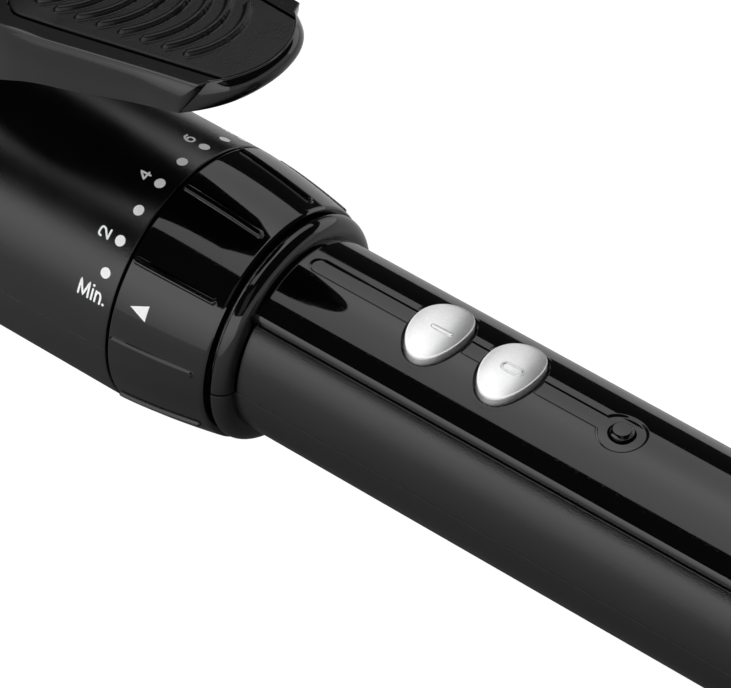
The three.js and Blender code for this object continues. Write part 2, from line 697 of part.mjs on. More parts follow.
piece('handle_screw_front', screwUp(FRONT_SCREW_X, -14.8, 1.7, 2.4, -4.8), steel);
piece('handle_screw_rear', screwUp(REAR_SCREW_X, -14.8, 1.7, 2.4, 5.6), steel);
piece('circuit_board', box(40, 112, -11, 11, BOARD_TOP - 1.6, BOARD_TOP), boardGreen);
piece('switch_on', tactSwitch(BUTTON_ON_X), steel);
piece('switch_off', tactSwitch(BUTTON_OFF_X), steel);
piece('button_on', pushButton(BUTTON_ON_X), pearlSilver);
piece('button_off', pushButton(BUTTON_OFF_X), pearlSilver);
piece('lamp_lens', lampLens(), lampBlack);
piece('indicator_led', indicatorLed(), ceramic);
piece('swivel_gland', swivelGland(), satinBlack);
piece('slip_ring_live', tube(4.85, 6.2, 124, 127, 24), brass);
piece('slip_ring_neutral', tube(4.85, 6.2, 129.5, 132.5, 24), brass);
piece('contact_brush_live', contactBrush(1, 124.4), brass);
piece('contact_brush_neutral', contactBrush(-1, 129.9), brass);
piece('clamp_jaw', clampJaw(), coatedBarrel);
piece('thumb_lever', thumbLever(), glossBlack);
piece('lever_grip', leverGrip(), satinBlack);
piece('jaw_rivet_front', rivet(RIVET_FRONT_X), steel);
piece('jaw_rivet_rear', rivet(RIVET_REAR_X), steel);
piece('hinge_bracket', hingeBracket(), steel);
piece('hinge_pin', hingePin(), steel);
piece('clamp_spring', clampSpring(), steel);
piece('rest_stand', restStand(), steel);
piece('stand_pin', standPin(), steel);

axisFrame.rotation.y = LEAN;
const curlingTong = new THREE.Group();
curlingTong.add(axisFrame);

// The origin is under the middle of the object, on the plane that it stands on.
curlingTong.updateMatrixWorld(true);
const extent = new THREE.Box3().setFromObject(curlingTong, true);
const middle = extent.getCenter(new THREE.Vector3());
axisFrame.position.set(-middle.x, -middle.y, -extent.min.z);

export default curlingTong;
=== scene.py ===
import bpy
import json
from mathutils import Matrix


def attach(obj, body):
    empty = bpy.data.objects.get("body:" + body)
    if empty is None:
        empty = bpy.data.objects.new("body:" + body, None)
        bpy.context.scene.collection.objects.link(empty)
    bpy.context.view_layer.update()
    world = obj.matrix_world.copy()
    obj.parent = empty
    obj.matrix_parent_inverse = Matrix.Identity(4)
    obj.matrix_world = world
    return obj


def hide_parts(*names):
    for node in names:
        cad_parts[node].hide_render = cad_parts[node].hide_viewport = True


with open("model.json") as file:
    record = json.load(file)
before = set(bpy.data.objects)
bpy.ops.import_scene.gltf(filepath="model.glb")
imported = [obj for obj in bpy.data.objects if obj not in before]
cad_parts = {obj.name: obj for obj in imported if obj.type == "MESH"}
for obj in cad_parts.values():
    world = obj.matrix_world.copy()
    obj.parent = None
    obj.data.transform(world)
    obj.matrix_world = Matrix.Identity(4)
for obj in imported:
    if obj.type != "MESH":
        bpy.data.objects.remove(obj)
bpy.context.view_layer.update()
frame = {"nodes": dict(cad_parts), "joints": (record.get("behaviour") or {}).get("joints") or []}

# The looks of a curling tong with a clamp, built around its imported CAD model.
# Shapes are worked out in the axis frame, in millimetres: the barrel's axis is X with x = 0 at the
# row of temperature dots, +Z is the side with the lever and the buttons, and an angle psi is
# measured about X from +Z towards -Y, in degrees. piece() carries them into the row frame.
import json
import math

import bmesh
import bpy
from mathutils import Matrix, Vector

# ---------------------------------------------------------------- the axis frame
DIAL_JOINT = next(joint for joint in frame["joints"] if joint["name"] == "dial_turn")
ORIGIN = Vector(DIAL_JOINT["pos_m"])
AXIS_X = -Vector(DIAL_JOINT["axis"]).normalized()
AXIS_Y = Vector((0, 1, 0))
AXIS_Z = AXIS_X.cross(AXIS_Y)
TURN = Matrix((AXIS_X, AXIS_Y, AXIS_Z)).transposed()
MILLIMETRE = 0.001
TO_ROW = Matrix.Translation(ORIGIN) @ TURN.to_4x4() @ Matrix.Scale(MILLIMETRE, 4)
FROM_ROW = TO_ROW.inverted()


def span(node):
    """Lowest and highest corner of a CAD node in the axis frame, in millimetres."""
    points = [FROM_ROW @ v.co for v in frame["nodes"][node].data.vertices]
    return [Vector([pick(p[i] for p in points) for i in range(3)]) for pick in (min, max)]


# ---------------------------------------------------------------- driving dimensions
GAP = 0.35          # between the cover and what lies beside it, and before the cool tip
NECK_FRONT = span("neck_sleeve")[0].x
NECK_REAR = span("neck_sleeve")[1].x
NECK_RADIUS = span("neck_sleeve")[1].z
DIAL_FRONT = span("temperature_dial")[0].x
DIAL_REAR = span("temperature_dial")[1].x
DIAL_DROP = 2.3     # how much smaller its radius is at the rear
DIAL_RIBS = 10
RIB_START = 10
RIB_PITCH = 360 / DIAL_RIBS
RIB_HEIGHT = 0.5
HANDLE_RADIUS = 16.35
HANDLE_BORE = 14
HANDLE_REAR = span("handle_shell_upper")[1].x
COLLAR_FRONT = span("handle_top_cover")[0].x
COLLAR_REAR = 23.8
COLLAR_RADIUS = 19.2
COVER_HALF_ANGLE = 46
COVER_BORE = 15.2
COVER_REAR = span("handle_top_cover")[1].x
COVER_EDGE = 1.35   # the width of its rounded edge
COVER_EDGE_RADIUS = 2.6
BUTTON_ON_X = 49.5
BUTTON_OFF_X = 62.8
BUTTON_HALF_LENGTH = 4.5
BUTTON_HALF_WIDTH = 6.7
BUTTON_RISE = 0.8   # its face rises by this from the middle to its front and rear
BUTTON_FALL = 0.66  # and falls by this to its sides
BUTTON_MIDDLE = span("button_on")[1].z - BUTTON_RISE
BUTTON_FOOT = 13.6
LAMP_X = 82.7
LAMP_RADIUS = 2
LAMP_RING = 3.8
CHANNEL_START = 27
CHANNEL_HALF_WIDTH = 1.5
CHANNEL_DEPTH = 0.32
PATCH_EDGE = 11.6   # half the width that is laid out round the buttons
BARREL_RADIUS = span("barrel_tube")[1].z
BARREL_FRONT = span("barrel_tube")[0].x
BARREL_REAR = span("barrel_tube")[1].x
TIP_END = span("cool_tip")[0].x
HINGE_X = -62
HINGE_Z = 24
JAW_INNER = 16.4
JAW_OUTER = 17.4
RIVETS_X = {"jaw_rivet_front": -82, "jaw_rivet_rear": -76}
STAND_X = -50
STAND_Z = -24.6
FOOT_X = -58
FOOT_Z = -38
HANDLE_REST_X = 140
FOOT_SLOPE = (FOOT_Z + HANDLE_RADIUS) / (FOOT_X - HANDLE_REST_X)
HANDLE_SCREWS_X = (30, 118)
# Each screw's place along X, the height of its head and the head's radius.
SCREWS = {"neck_screw": (-38, -21.9, 2.15), "handle_screw_front": (HANDLE_SCREWS_X[0], -14.8, 2.4),
          "handle_screw_rear": (HANDLE_SCREWS_X[1], -14.8, 2.4)}
DOT_PITCH = 14.155  # degrees
DOT_RADIUS = 0.88
DOT_X = 0.15
INK_TOP = 0.02
INK_BASE = -0.05


# ---------------------------------------------------------------- mesh helpers
def at(x, radius, psi):
    """The point at a radius and an angle about the barrel's axis."""
    angle = math.radians(psi)
    return Vector((x, -radius * math.sin(angle), radius * math.cos(angle)))


def lerp(a, b, t):
    return a + (b - a) * t


def smooth(t):
    t = min(1, max(0, t))
    return t * t * (3 - 2 * t)


def spread(start, stop, count):
    return [lerp(start, stop, i / count) for i in range(count + 1)]


def rounded(points, steps=4):
    """A closed outline whose points (a, b, radius) have their corner turned into an arc."""
    outline = []
    for i, point in enumerate(points):
        corner = Vector(point[:2])
        if len(point) < 3:
            outline.append(tuple(corner))
            continue
        before = Vector(points[i - 1][:2]) - corner
        after = Vector(points[(i + 1) % len(points)][:2]) - corner
        half = before.angle(after) / 2
        reach = min(point[2] / math.tan(half), 0.49 * before.length, 0.49 * after.length)
        start = corner + before.normalized() * reach
        end = corner + after.normalized() * reach
        for k in range(steps + 1):
            t = k / steps
            bend = (1 - t) ** 2 * start + 2 * t * (1 - t) * corner + t * t * end
            outline.append(tuple(bend))
    return outline


def skin(loops, wrap=False):
    """Closed loops of points, joined one to the next; the two ends are closed unless it wraps."""
    count = len(loops[0])
    faces = []
    for k in range(len(loops) if wrap else len(loops) - 1):
        a = k * count
        b = (k + 1) % len(loops) * count
        for i in range(count):
            j = (i + 1) % count
            faces.append((a + i, a + j, b + j, b + i))
    if not wrap:
        faces.append(tuple(range(count)))
        faces.append(tuple(range((len(loops) - 1) * count, len(loops) * count)))
    return [p for loop in loops for p in loop], faces


def revolve(profile_at, psis, wrap=False):
    """profile_at(psi) gives a closed outline of (x, radius); it is turned through the angles."""
    return skin([[at(x, r, psi) for x, r in profile_at(psi)] for psi in psis], wrap)


def lathe(profile, steps=160):
    return revolve(lambda psi: profile, spread(0, 360, steps)[:-1], True)


def circle(count, shift=0.0):
    """Cosine and sine of evenly spaced angles, the first of them shift steps from zero."""
    angles = [2 * math.pi * (k + shift) / count for k in range(count)]
    return [(math.cos(angle), math.sin(angle)) for angle in angles]


def turned(profile, place, steps=48):
    """An outline of (height, radius) turned about the local Z axis of place."""
    loops = [[place @ Vector((r * c, r * s, h)) for h, r in profile] for c, s in circle(steps)]
    return skin(loops, True)


def turned_ends(profile, place):
    """An outline turned as above, and its mirror image at the other end of the axis."""
    return [turned(profile, place), turned([(-h, r) for h, r in profile], place)]


def upright(x):
    return Matrix.Translation((x, 0, 0))


def sideways(x, z):
    return Matrix.Translation((x, 0, z)) @ Matrix.Rotation(-math.pi / 2, 4, "X")


def inset(outline, amount):
    """A closed 2-D outline moved inwards by amount at every corner."""
    area = sum(a[0] * b[1] - b[0] * a[1] for a, b in zip(outline, outline[1:] + outline[:1]))
    side = 1 if area > 0 else -1
    moved = []
    for i, point in enumerate(outline):
        a, p, b = Vector(outline[i - 1]), Vector(point), Vector(outline[(i + 1) % len(outline)])
        along = ((p - a).normalized() + (b - p).normalized()).normalized()
        inward = Vector((-along.y, along.x)) * side
        moved.append(tuple(p + inward * amount))
    return moved


def prism(outline, low, high, edge=0.25, steps=3):
    """An outline in (x, z) raised along Y from low to high, with rounded edges."""
    loops = []
    for y, side in ((low, 1), (high, -1)):
        arc = []
        for angle in spread(0, math.pi / 2, steps):
            ring = inset(outline, edge * (1 - math.sin(angle)))
            arc.append([Vector((x, y + side * edge * (1 - math.cos(angle)), z)) for x, z in ring])
        loops += arc if side > 0 else arc[::-1]
    return skin(loops)


def curve(points, per_span=8):
    """A smooth line through the points."""
    ends = [points[0] * 2 - points[1], *points, points[-1] * 2 - points[-2]]
    line = []
    for p0, p1, p2, p3 in zip(ends, ends[1:], ends[2:], ends[3:]):
        for k in range(per_span):
            t = k / per_span
            a = 2 * p1 + (p2 - p0) * t + (2 * p0 - 5 * p1 + 4 * p2 - p3) * t * t
            line.append((a + (3 * p1 - p0 - 3 * p2 + p3) * t ** 3) / 2)
    return line + [points[-1]]


def bend(points):
    """The same for plain 2-D points."""
    return [tuple(p) for p in curve([Vector(p) for p in points], 5)]


def direction(line, i):
    """The way a line runs at its point i."""
    return (line[min(i + 1, len(line) - 1)] - line[max(i - 1, 0)]).normalized()


def tube(line, radius, sides):
    loops = []
    first = Vector((0, 1, 0.1))
    for i, point in enumerate(line):
        along = direction(line, i)
        first = (first - along * first.dot(along)).normalized()
        second = along.cross(first)
        loops.append([point + radius * (c * first + s * second) for c, s in circle(sides)])
    return skin(loops)


class Sheet:
    """Quads laid out in a plane (u, v), each point with a height; equal points are shared."""

    def __init__(self):
        self.points = []
        self.index = {}
        self.faces = []

    def vertex(self, u, v, height=0.0):
        key = (round(u, 4), round(v, 4))
        if key not in self.index:
            self.index[key] = len(self.points)
            self.points.append((u, v, height))
        return self.index[key]

    def rows(self, rows, closed=False):
        """Joins each row of points to the next."""
        for a, b in zip(rows, rows[1:]):
            last = len(a) if closed else len(a) - 1
            for i in range(last):
                j = (i + 1) % len(a)
                face = [self.vertex(*p) for p in (a[i], b[i], b[j], a[j])]
                face = list(dict.fromkeys(face))
                if len(face) > 2:
                    self.faces.append(face)

    def solid(self, top, bottom):
        """A closed shape between top(u, v, height) and bottom(u, v, height)."""
        faces = []
        for face in self.faces:
            uv = [self.points[i][:2] for i in face]
            area = sum(a[0] * b[1] - b[0] * a[1] for a, b in zip(uv, uv[1:] + uv[:1]))
            faces.append(face if area > 0 else face[::-1])
        count = len(self.points)
        edges = {(a, b) for face in faces for a, b in zip(face, face[1:] + face[:1])}
        walls = [(b, a, count + a, count + b) for a, b in edges if (b, a) not in edges]
        under = [[count + i for i in reversed(face)] for face in faces]
        points = [top(*p) for p in self.points] + [bottom(*p) for p in self.points]
        return points, faces + under + sorted(walls)


def add_object(name, data):
    item = bpy.data.objects.new(name, data)
    bpy.context.scene.collection.objects.link(item)
    return item


def piece(name, body, finish, shapes, nodes=(), sharp=35):
    """Makes one object of closed shapes, which rides on a body and stands for CAD nodes."""
    touching = 1e-4
    whole = bmesh.new()
    for points, faces in shapes:
        verts = [whole.verts.new(p) for p in points]
        for face in faces:
            corners = list(dict.fromkeys(verts[i] for i in face))
            if len(corners) > 2:
                whole.faces.new(corners)
        bmesh.ops.remove_doubles(whole, verts=verts, dist=touching)
    bmesh.ops.dissolve_degenerate(whole, edges=whole.edges, dist=touching)
    bmesh.ops.recalc_face_normals(whole, faces=whole.faces)
    for face in whole.faces:
        face.smooth = True
    for edge in whole.edges:
        edge.smooth = edge.calc_face_angle(0) < math.radians(sharp)
    mesh = bpy.data.meshes.new(name)
    whole.to_mesh(mesh)
    whole.free()
    mesh.transform(TO_ROW)
    mesh.materials.append(finish.material)
    item = add_object(name, mesh)
    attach(item, body)
    if nodes:
        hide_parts(*nodes)
    return item


# ---------------------------------------------------------------- materials
class Finish:
    """A procedural material and the record's slot that it stands for, by default its namesake."""

    def __init__(self, name, color, roughness, metallic=0.0, slot=None, **sockets):
        self.slot = slot or name
        self.material = bpy.data.materials.new(name)
        self.material.use_nodes = True
        self.tree = self.material.node_tree
        self.shader = self.tree.nodes["Principled BSDF"]
        self.color = (*color, 1)
        self.roughness = roughness
        self.set("Base Color", self.color)
        self.set("Roughness", roughness)
        self.set("Metallic", metallic)
        for socket, value in sockets.items():
            self.set(socket.replace("_", " "), value)
        self.place = self.node("ShaderNodeTexCoord").outputs["Object"]
        self.normal = None

    def set(self, socket, value):
        self.shader.inputs[socket].default_value = value

    def node(self, kind, **values):
        node = self.tree.nodes.new(kind)
        for key, value in values.items():
            setattr(node, key, value)
        return node

    def link(self, output, target):
        self.tree.links.new(output, target)

    def noise(self, size, detail=2.0, stretch=(1, 1, 1), roughness=0.5):
        """A noise whose blobs are about size metres across."""
        mapping = self.node("ShaderNodeMapping")
        mapping.inputs["Scale"].default_value = stretch
        self.link(self.place, mapping.inputs["Vector"])
        noise = self.node("ShaderNodeTexNoise")
        noise.inputs["Scale"].default_value = 1 / size
        noise.inputs["Detail"].default_value = detail
        noise.inputs["Roughness"].default_value = roughness
        self.link(mapping.outputs["Vector"], noise.inputs["Vector"])
        return noise.outputs["Fac"]

    def ranged(self, value, low, high, to_low, to_high):
        node = self.node("ShaderNodeMapRange")
        for socket, number in zip(("From Min", "From Max", "To Min", "To Max"),
                                  (low, high, to_low, to_high)):
            node.inputs[socket].default_value = number
        self.link(value, node.inputs["Value"])
        return node.outputs["Result"]

    def vary_roughness(self, value, amount):
        low, high = self.roughness - amount, self.roughness + amount
        self.link(self.ranged(value, 0.3, 0.7, low, high), self.shader.inputs["Roughness"])

    def vary_color(self, value, other, low=0.35, high=0.65):
        mix = self.node("ShaderNodeMix", data_type="RGBA")
        mix.inputs["A"].default_value = self.color
        mix.inputs["B"].default_value = (*other, 1)
        self.link(self.ranged(value, low, high, 0, 1), mix.inputs["Factor"])
        self.link(mix.outputs["Result"], self.shader.inputs["Base Color"])

    def bump(self, value, depth, strength=1.0):
        """Relief of depth metres, added to what is already there."""
        node = self.node("ShaderNodeBump")
        node.inputs["Distance"].default_value = depth
        node.inputs["Strength"].default_value = strength
        self.link(value, node.inputs["Height"])
        if self.normal:
            self.link(self.normal, node.inputs["Normal"])
        self.normal = node.outputs["Normal"]
        self.link(self.normal, self.shader.inputs["Normal"])


def satin_plastic(name, color, roughness, grain=0.0003, depth=0.00003):
    """Moulded plastic with a fine spark-eroded grain."""
    finish = Finish(name, color, roughness)
    finish.vary_color(finish.noise(0.012, 4), [c * 1.5 for c in color])
    finish.vary_roughness(finish.noise(0.006, 5), 0.03)
    finish.bump(finish.noise(grain, 2), depth)
    return finish


def gloss_plastic(name, color, roughness=0.045):
    """High-gloss plastic: nearly flawless, with faint swirls of polish and hairline scratches."""
    finish = Finish(name, color, roughness)
    finish.vary_color(finish.noise(0.02, 3), [c * 1.4 for c in color])
    finish.vary_roughness(finish.noise(0.009, 6, roughness=0.7), 0.02)
    finish.bump(finish.noise(0.004, 2), 0.000002)
    scratches = finish.ranged(finish.noise(0.0012, 2, (1, 14, 14)), 0.68, 0.78, 0, 1)
    finish.bump(scratches, 0.0000015)
    return finish


def brushed_metal(name, color, roughness):
    """Metal with a fine directional grain and slightly dulled patches."""
    finish = Finish(name, color, roughness, 1.0)
    finish.vary_color(finish.noise(0.004, 4), [c * 0.82 for c in color])
    finish.vary_roughness(finish.noise(0.003, 5), 0.06)
    finish.bump(finish.noise(0.0006, 4, (12, 1, 1)), 0.000004)
    return finish


def pearl_paint():
    """Silver lacquer with fine flakes."""
    finish = Finish("pearl_silver", (0.7, 0.7, 0.7), 0.33, 0.82, Coat_Weight=0.3, Coat_Roughness=0.15)
    finish.vary_color(finish.noise(0.0003, 3, roughness=0.8), (0.62, 0.62, 0.63))
    finish.vary_roughness(finish.noise(0.002, 4), 0.03)
    finish.bump(finish.noise(0.00016, 2), 0.000004)
    return finish


def ceramic_coating():
    """Dark ceramic coating on the heated parts, with a metallic glint."""
    finish = Finish("coated_barrel", (0.045, 0.046, 0.05), 0.28, 0.55, Coat_Weight=0.2,
                    Coat_Roughness=0.12)
    finish.vary_color(finish.noise(0.0003, 4, roughness=0.8), (0.075, 0.076, 0.082))
    finish.vary_roughness(finish.noise(0.01, 5), 0.05)
    finish.bump(finish.noise(0.00025, 3), 0.000003)
    return finish


def pad_rubber():
    """Soft matt pad with a leathery emboss."""
    finish = Finish("grip_pad", (0.003, 0.003, 0.0031), 0.3, slot="satin_black", Specular_IOR_Level=0.27)
    finish.vary_color(finish.noise(0.008, 4), (0.005, 0.005, 0.0052))
    cells = finish.node("ShaderNodeTexVoronoi")
    cells.inputs["Scale"].default_value = 2600
    finish.link(finish.place, cells.inputs["Vector"])
    finish.bump(cells.outputs["Distance"], 0.00001)
    finish.bump(finish.noise(0.0003, 3), 0.00001)
    finish.vary_roughness(finish.noise(0.004, 4), 0.05)
    return finish


def white_ink():
    """Matt white print, a little uneven."""
    finish = Finish("print_white", (0.97, 0.97, 0.97), 0.5, slot="pearl_silver")
    finish.vary_color(finish.noise(0.0003, 3), (0.9, 0.9, 0.9))
    finish.bump(finish.noise(0.0002, 2), 0.000003)
    return finish


SATIN = satin_plastic("satin_black", (0.002, 0.002, 0.0021), 0.21, 0.0002)
GLOSS = gloss_plastic("gloss_black", (0.0009, 0.0009, 0.00095))
LENS = gloss_plastic("lamp_black", (0.0012, 0.0012, 0.0012), 0.03)
PEARL = pearl_paint()
PAD = pad_rubber()
COATING = ceramic_coating()
INK = white_ink()
STEEL = brushed_metal("steel", (0.58, 0.59, 0.6), 0.28)
BY_SLOT = {finish.slot: finish for finish in (
    brushed_metal("aluminium", (0.66, 0.67, 0.69), 0.35),
    brushed_metal("brass", (0.62, 0.43, 0.14), 0.3),
    satin_plastic("ceramic", (0.78, 0.74, 0.64), 0.6, 0.0004, 0.00002),
    satin_plastic("white_nylon", (0.7, 0.69, 0.65), 0.45, 0.0006),
    satin_plastic("board_green", (0.012, 0.11, 0.035), 0.4, 0.0008),
    satin_plastic("red_sleeve", (0.28, 0.015, 0.01), 0.55, 0.0005),
    STEEL, SATIN, GLOSS, PEARL, LENS, COATING)}


def finish_cad_nodes():
    """Gives every CAD node that stays the material of its slot."""
    for item in frame["nodes"].values():
        for holder in item.material_slots:
            name = holder.material.name.split(".")[0] if holder.material else ""
            if name in BY_SLOT:
                holder.material = BY_SLOT[name].material


# ---------------------------------------------------------------- barrel and tip
def barrel():
    """The heated tube; its front and rear rims are rounded."""
    wall = 1.1
    profile = rounded([(BARREL_FRONT, BARREL_RADIUS - wall), (BARREL_FRONT, BARREL_RADIUS, 0.5),
                       (BARREL_REAR, BARREL_RADIUS, 0.3), (BARREL_REAR, BARREL_RADIUS - wall)])
    piece("barrel", "root", COATING, [lathe(profile)], ["barrel_tube"])


def cool_tip():
    start = BARREL_FRONT - GAP
    outside = [(start, 15.2), (start, 15.9, 0.3), (-183.2, 15.75, 0.1), (-183.4, 15.35, 0.1),
               (-184.2, 15.3, 0.1), (-184.4, 15.65, 0.1)]
    dome = [(-184.4, 15.65), (-187, 15.2), (-190.5, 13.9), (-193.6, 11.5), (-195.7, 8.2),
            (-196.8, 4.4), (TIP_END, 0)]
    inside = [(-194.6, 0), (-194, 6, 2), (-190, 10.8, 2), (-184, 12.6, 1), (-172, 12.6),
              (-172, 14.5, 0.3), (start, 14.5)]
    outline = rounded(outside)[:-1] + bend(dome) + rounded(inside)
    piece("cool_tip", "root", SATIN, [lathe(outline)], ["cool_tip"])


def insulator():
    low, high = span("insulator_ring")
    inner = high.z - 2
    profile = rounded([(low.x, inner), (low.x, high.z, 0.3), (high.x, high.z, 0.3), (high.x, inner)])
    piece("insulator_ring", "root", BY_SLOT["ceramic"], [lathe(profile)], ["insulator_ring"])


# ---------------------------------------------------------------- neck
def neck():
    seam_half = 0.13
    seam_depth = 0.03
    beside_seam = [0.12, 0.2, 0.4]
    lug_radius = 3
    lug_half_width = 5

    def profile(psi):
        from_seam = abs(abs((psi + 180) % 360 - 180) - 90)
        dip = seam_depth if from_seam < seam_half else 0
        outside = [(NECK_FRONT, 16.9), (NECK_FRONT, 19.4 - dip, 0.3), (-57.2, 20.4 - dip, 0.8),
                   (-46, NECK_RADIUS - dip, 6), (NECK_REAR, NECK_RADIUS - dip, 0.35),
                   (NECK_REAR, 20), (-47, 20), (-47, 18.8), (-56, 18.8), (-56, 16.9)]
        return rounded(outside, 5)

    psis = []
    for quarter in (-90, 90):
        psis += [quarter - b for b in reversed(beside_seam)] + [quarter + b for b in beside_seam]
        psis += spread(quarter + 2, quarter + 178, 88)
    lug = [(STAND_X - lug_radius, -19)]
    for angle in spread(math.pi, 2 * math.pi, 6):
        lug.append((STAND_X + lug_radius * math.cos(angle), STAND_Z + lug_radius * math.sin(angle)))
    lug.append((STAND_X + lug_radius, -19))
    shapes = [revolve(profile, psis, True), prism(lug, -lug_half_width, lug_half_width)]
    piece("neck", "root", SATIN, shapes, ["neck_sleeve"])


def patch_on_neck(loops, closed=True):
    """A thin layer of ink over the neck, from loops of (x, arc length) points."""
    sheet = Sheet()
    sheet.rows(loops, closed)
    degrees = 180 / math.pi / NECK_RADIUS
    return sheet.solid(lambda x, arc, h: at(x, NECK_RADIUS + INK_TOP, arc * degrees),
                       lambda x, arc, h: at(x, NECK_RADIUS + INK_BASE, arc * degrees))


def dot(x, arc, radius):
    return patch_on_neck([[(x + share * radius * c, arc + share * radius * s) for c, s in circle(28)]
                          for share in (0, 0.5, 1)])


def stroke(line, radius):
    """An ink stroke of a given half-width, with round ends, along (x, arc) points."""
    longest_step = 0.35
    points = [Vector(p) for p in line]
    fine = []
    for a, b in zip(points, points[1:]):
        steps = max(1, round((b - a).length / longest_step))
        fine += [a.lerp(b, t) for t in spread(0, 1, steps)[:-1]]
    fine.append(points[-1])

    def cap(p, along, way):
        return [(p + along * way * radius * math.cos(angle), along, radius * math.sin(angle))
                for angle in spread(0, math.pi / 2, 6)[1:-1]]

    middle = [(p, direction(fine, i), radius) for i, p in enumerate(fine)]
    rows = []
    for p, along, half in cap(*middle[0][:2], -1) + middle + cap(*middle[-1][:2], 1)[::-1]:
        side = Vector((-along.y, along.x)) * half
        rows.append([tuple(p + side * t) for t in (-1, -0.5, 0, 0.5, 1)])
    return patch_on_neck(rows, False)


# A character is a list of strokes in units of its height: u across, v up. A single point is a dot.
GLYPHS = {
    "M": ([[(0, 0), (0.03, 1), (0.37, 0.02), (0.69, 1), (0.74, 0)]], 0.74),
    "a": ([bend([(0.36, 0.5), (0.2, 0.66), (0.02, 0.5), (0, 0.2), (0.16, 0), (0.36, 0.16)]),
           [(0.38, 0.66), (0.38, 0)]], 0.38),
    "i": ([[(0, 0), (0, 0.68)], [(0, 0.95)]], 0.0),
    "n": ([[(0, 0), (0, 0.68)], bend([(0, 0.42), (0.1, 0.64), (0.28, 0.62), (0.38, 0.4), (0.38, 0)])],
          0.38),
    "x": ([[(0, 0), (0.4, 0.66)], [(0, 0.66), (0.4, 0)]], 0.4),
    ".": ([[(0, 0.06)]], 0.0),
    "2": ([bend([(0, 0.72), (0.08, 0.95), (0.38, 1), (0.74, 0.9), (0.72, 0.58), (0.36, 0.3), (0, 0)]),
           [(0, 0), (0.8, 0)]], 0.8),
    "4": ([[(0.6, 0), (0.6, 1), (0, 0.28), (0.8, 0.28)]], 0.8),
    "6": ([bend([(0.7, 0.96), (0.3, 0.9), (0.04, 0.6), (0, 0.28), (0.2, 0.02), (0.58, 0.03),
                 (0.76, 0.32), (0.58, 0.6), (0.2, 0.58), (0.02, 0.36)])], 0.76),
    "8": ([bend([(0.38, 0.53), (0.08, 0.7), (0.14, 0.96), (0.38, 1), (0.62, 0.96), (0.68, 0.7),
                 (0.38, 0.53), (0.04, 0.36), (0.06, 0.08), (0.38, 0), (0.7, 0.08), (0.72, 0.36),
                 (0.38, 0.53)])], 0.76),
}


def lettering(text, x, arc, height, stroke_radius, reads_along_x):
    """Ink strokes for a text whose lower left corner is at (x, arc)."""
    gap = 0.68
    full_stop = 1.25
    shapes = []
    reach = 0
    for character in text:
        strokes, width = GLYPHS[character]
        for line in strokes:
            placed = []
            for u, v in line:
                u_mm, v_mm = reach + u * height, v * height
                placed.append((x + u_mm, arc - v_mm) if reads_along_x else (x - v_mm, arc - u_mm))
            if len(placed) == 1:
                shapes.append(dot(*placed[0], stroke_radius * full_stop))
            else:
                shapes.append(stroke(placed, stroke_radius))
        reach += width * height + gap
    return shapes


def scale():
    """The row of dots with its letters: Min, then the numbers 2 to 8, then Max."""
    number_x, number_start, number_height = -1.98, 0.7, 1.8
    word_x, word_height = -3.5, 2.5
    arc = math.radians(DOT_PITCH) * NECK_RADIUS
    dots = [dot(DOT_X, arc * i, DOT_RADIUS) for i in range(-4, 5)]
    piece("scale_dots", "root", INK, dots)
    shapes = []
    for i, number in enumerate("2468"):
        start = arc * (3 - 2 * i) + number_start
        shapes += lettering(number, number_x, start, number_height, 0.17, False)
    for word, start in (("Min.", arc * 4 + 5.05), ("Max", -arc * 4 - 2.6)):
        shapes += lettering(word, word_x, start, word_height, 0.18, True)
    piece("scale_letters", "root", INK, shapes)


# ---------------------------------------------------------------- temperature dial
def dial_radius(x):
    share = max(0, x - DIAL_FRONT) / (DIAL_REAR - DIAL_FRONT)
    return NECK_RADIUS - DIAL_DROP * share ** 1.5


def rib_height(x, psi):
    """The dial's ribs: round-ended ridges along the axis."""
    front, rear = 4.3, 17.9
    half_width, slope = 0.66, 0.34
    off = (psi - RIB_START + RIB_PITCH / 2) % RIB_PITCH - RIB_PITCH / 2
    side = math.radians(off) * dial_radius(x)
    beyond = max(0, front - x, x - rear)
    return RIB_HEIGHT * smooth((half_width - math.hypot(side, beyond)) / slope)


def dial():
    xs = [DIAL_FRONT + 0.04, DIAL_FRONT + 0.12, DIAL_FRONT + 0.22]
    xs += spread(3.62, 4.4, 8) + spread(5, 17.2, 20) + spread(17.5, 18.7, 12) + spread(19, 19.8, 3)
    offsets = [0.25, 0.5, 0.75, 0.95, 1.15, 1.35, 1.55, 1.75, 2.1, 2.8]
    offsets = [-o for o in reversed(offsets)] + [0] + offsets
    beside_rib = 4.2
    edge_depth, edge_length = 0.25, 0.3
    psis = []
    for k in range(DIAL_RIBS):
        middle = RIB_START + RIB_PITCH * k
        psis += [middle + o for o in offsets]
        psis += spread(middle + beside_rib, middle + RIB_PITCH - beside_rib, 18)
    rear_radius = dial_radius(DIAL_REAR)
    rear = [(DIAL_REAR - 0.22, rear_radius - 0.04), (DIAL_REAR - 0.06, rear_radius - 0.16),
            (DIAL_REAR, rear_radius - 0.36)]
    inside = [(DIAL_REAR, 17.6), (8.6, 17.6), (8.6, 19.2), (DIAL_FRONT, 19.2)]

    def profile(psi):
        outline = [(DIAL_FRONT, NECK_RADIUS - 0.45)]
        for x in xs:
            edge = edge_depth * (1 - smooth((x - DIAL_FRONT) / edge_length))
            outline.append((x, dial_radius(x) + rib_height(x, psi) - edge))
        return outline + rear + inside

    piece("temperature_dial", "dial", GLOSS, [revolve(profile, psis, True)], ["temperature_dial"])


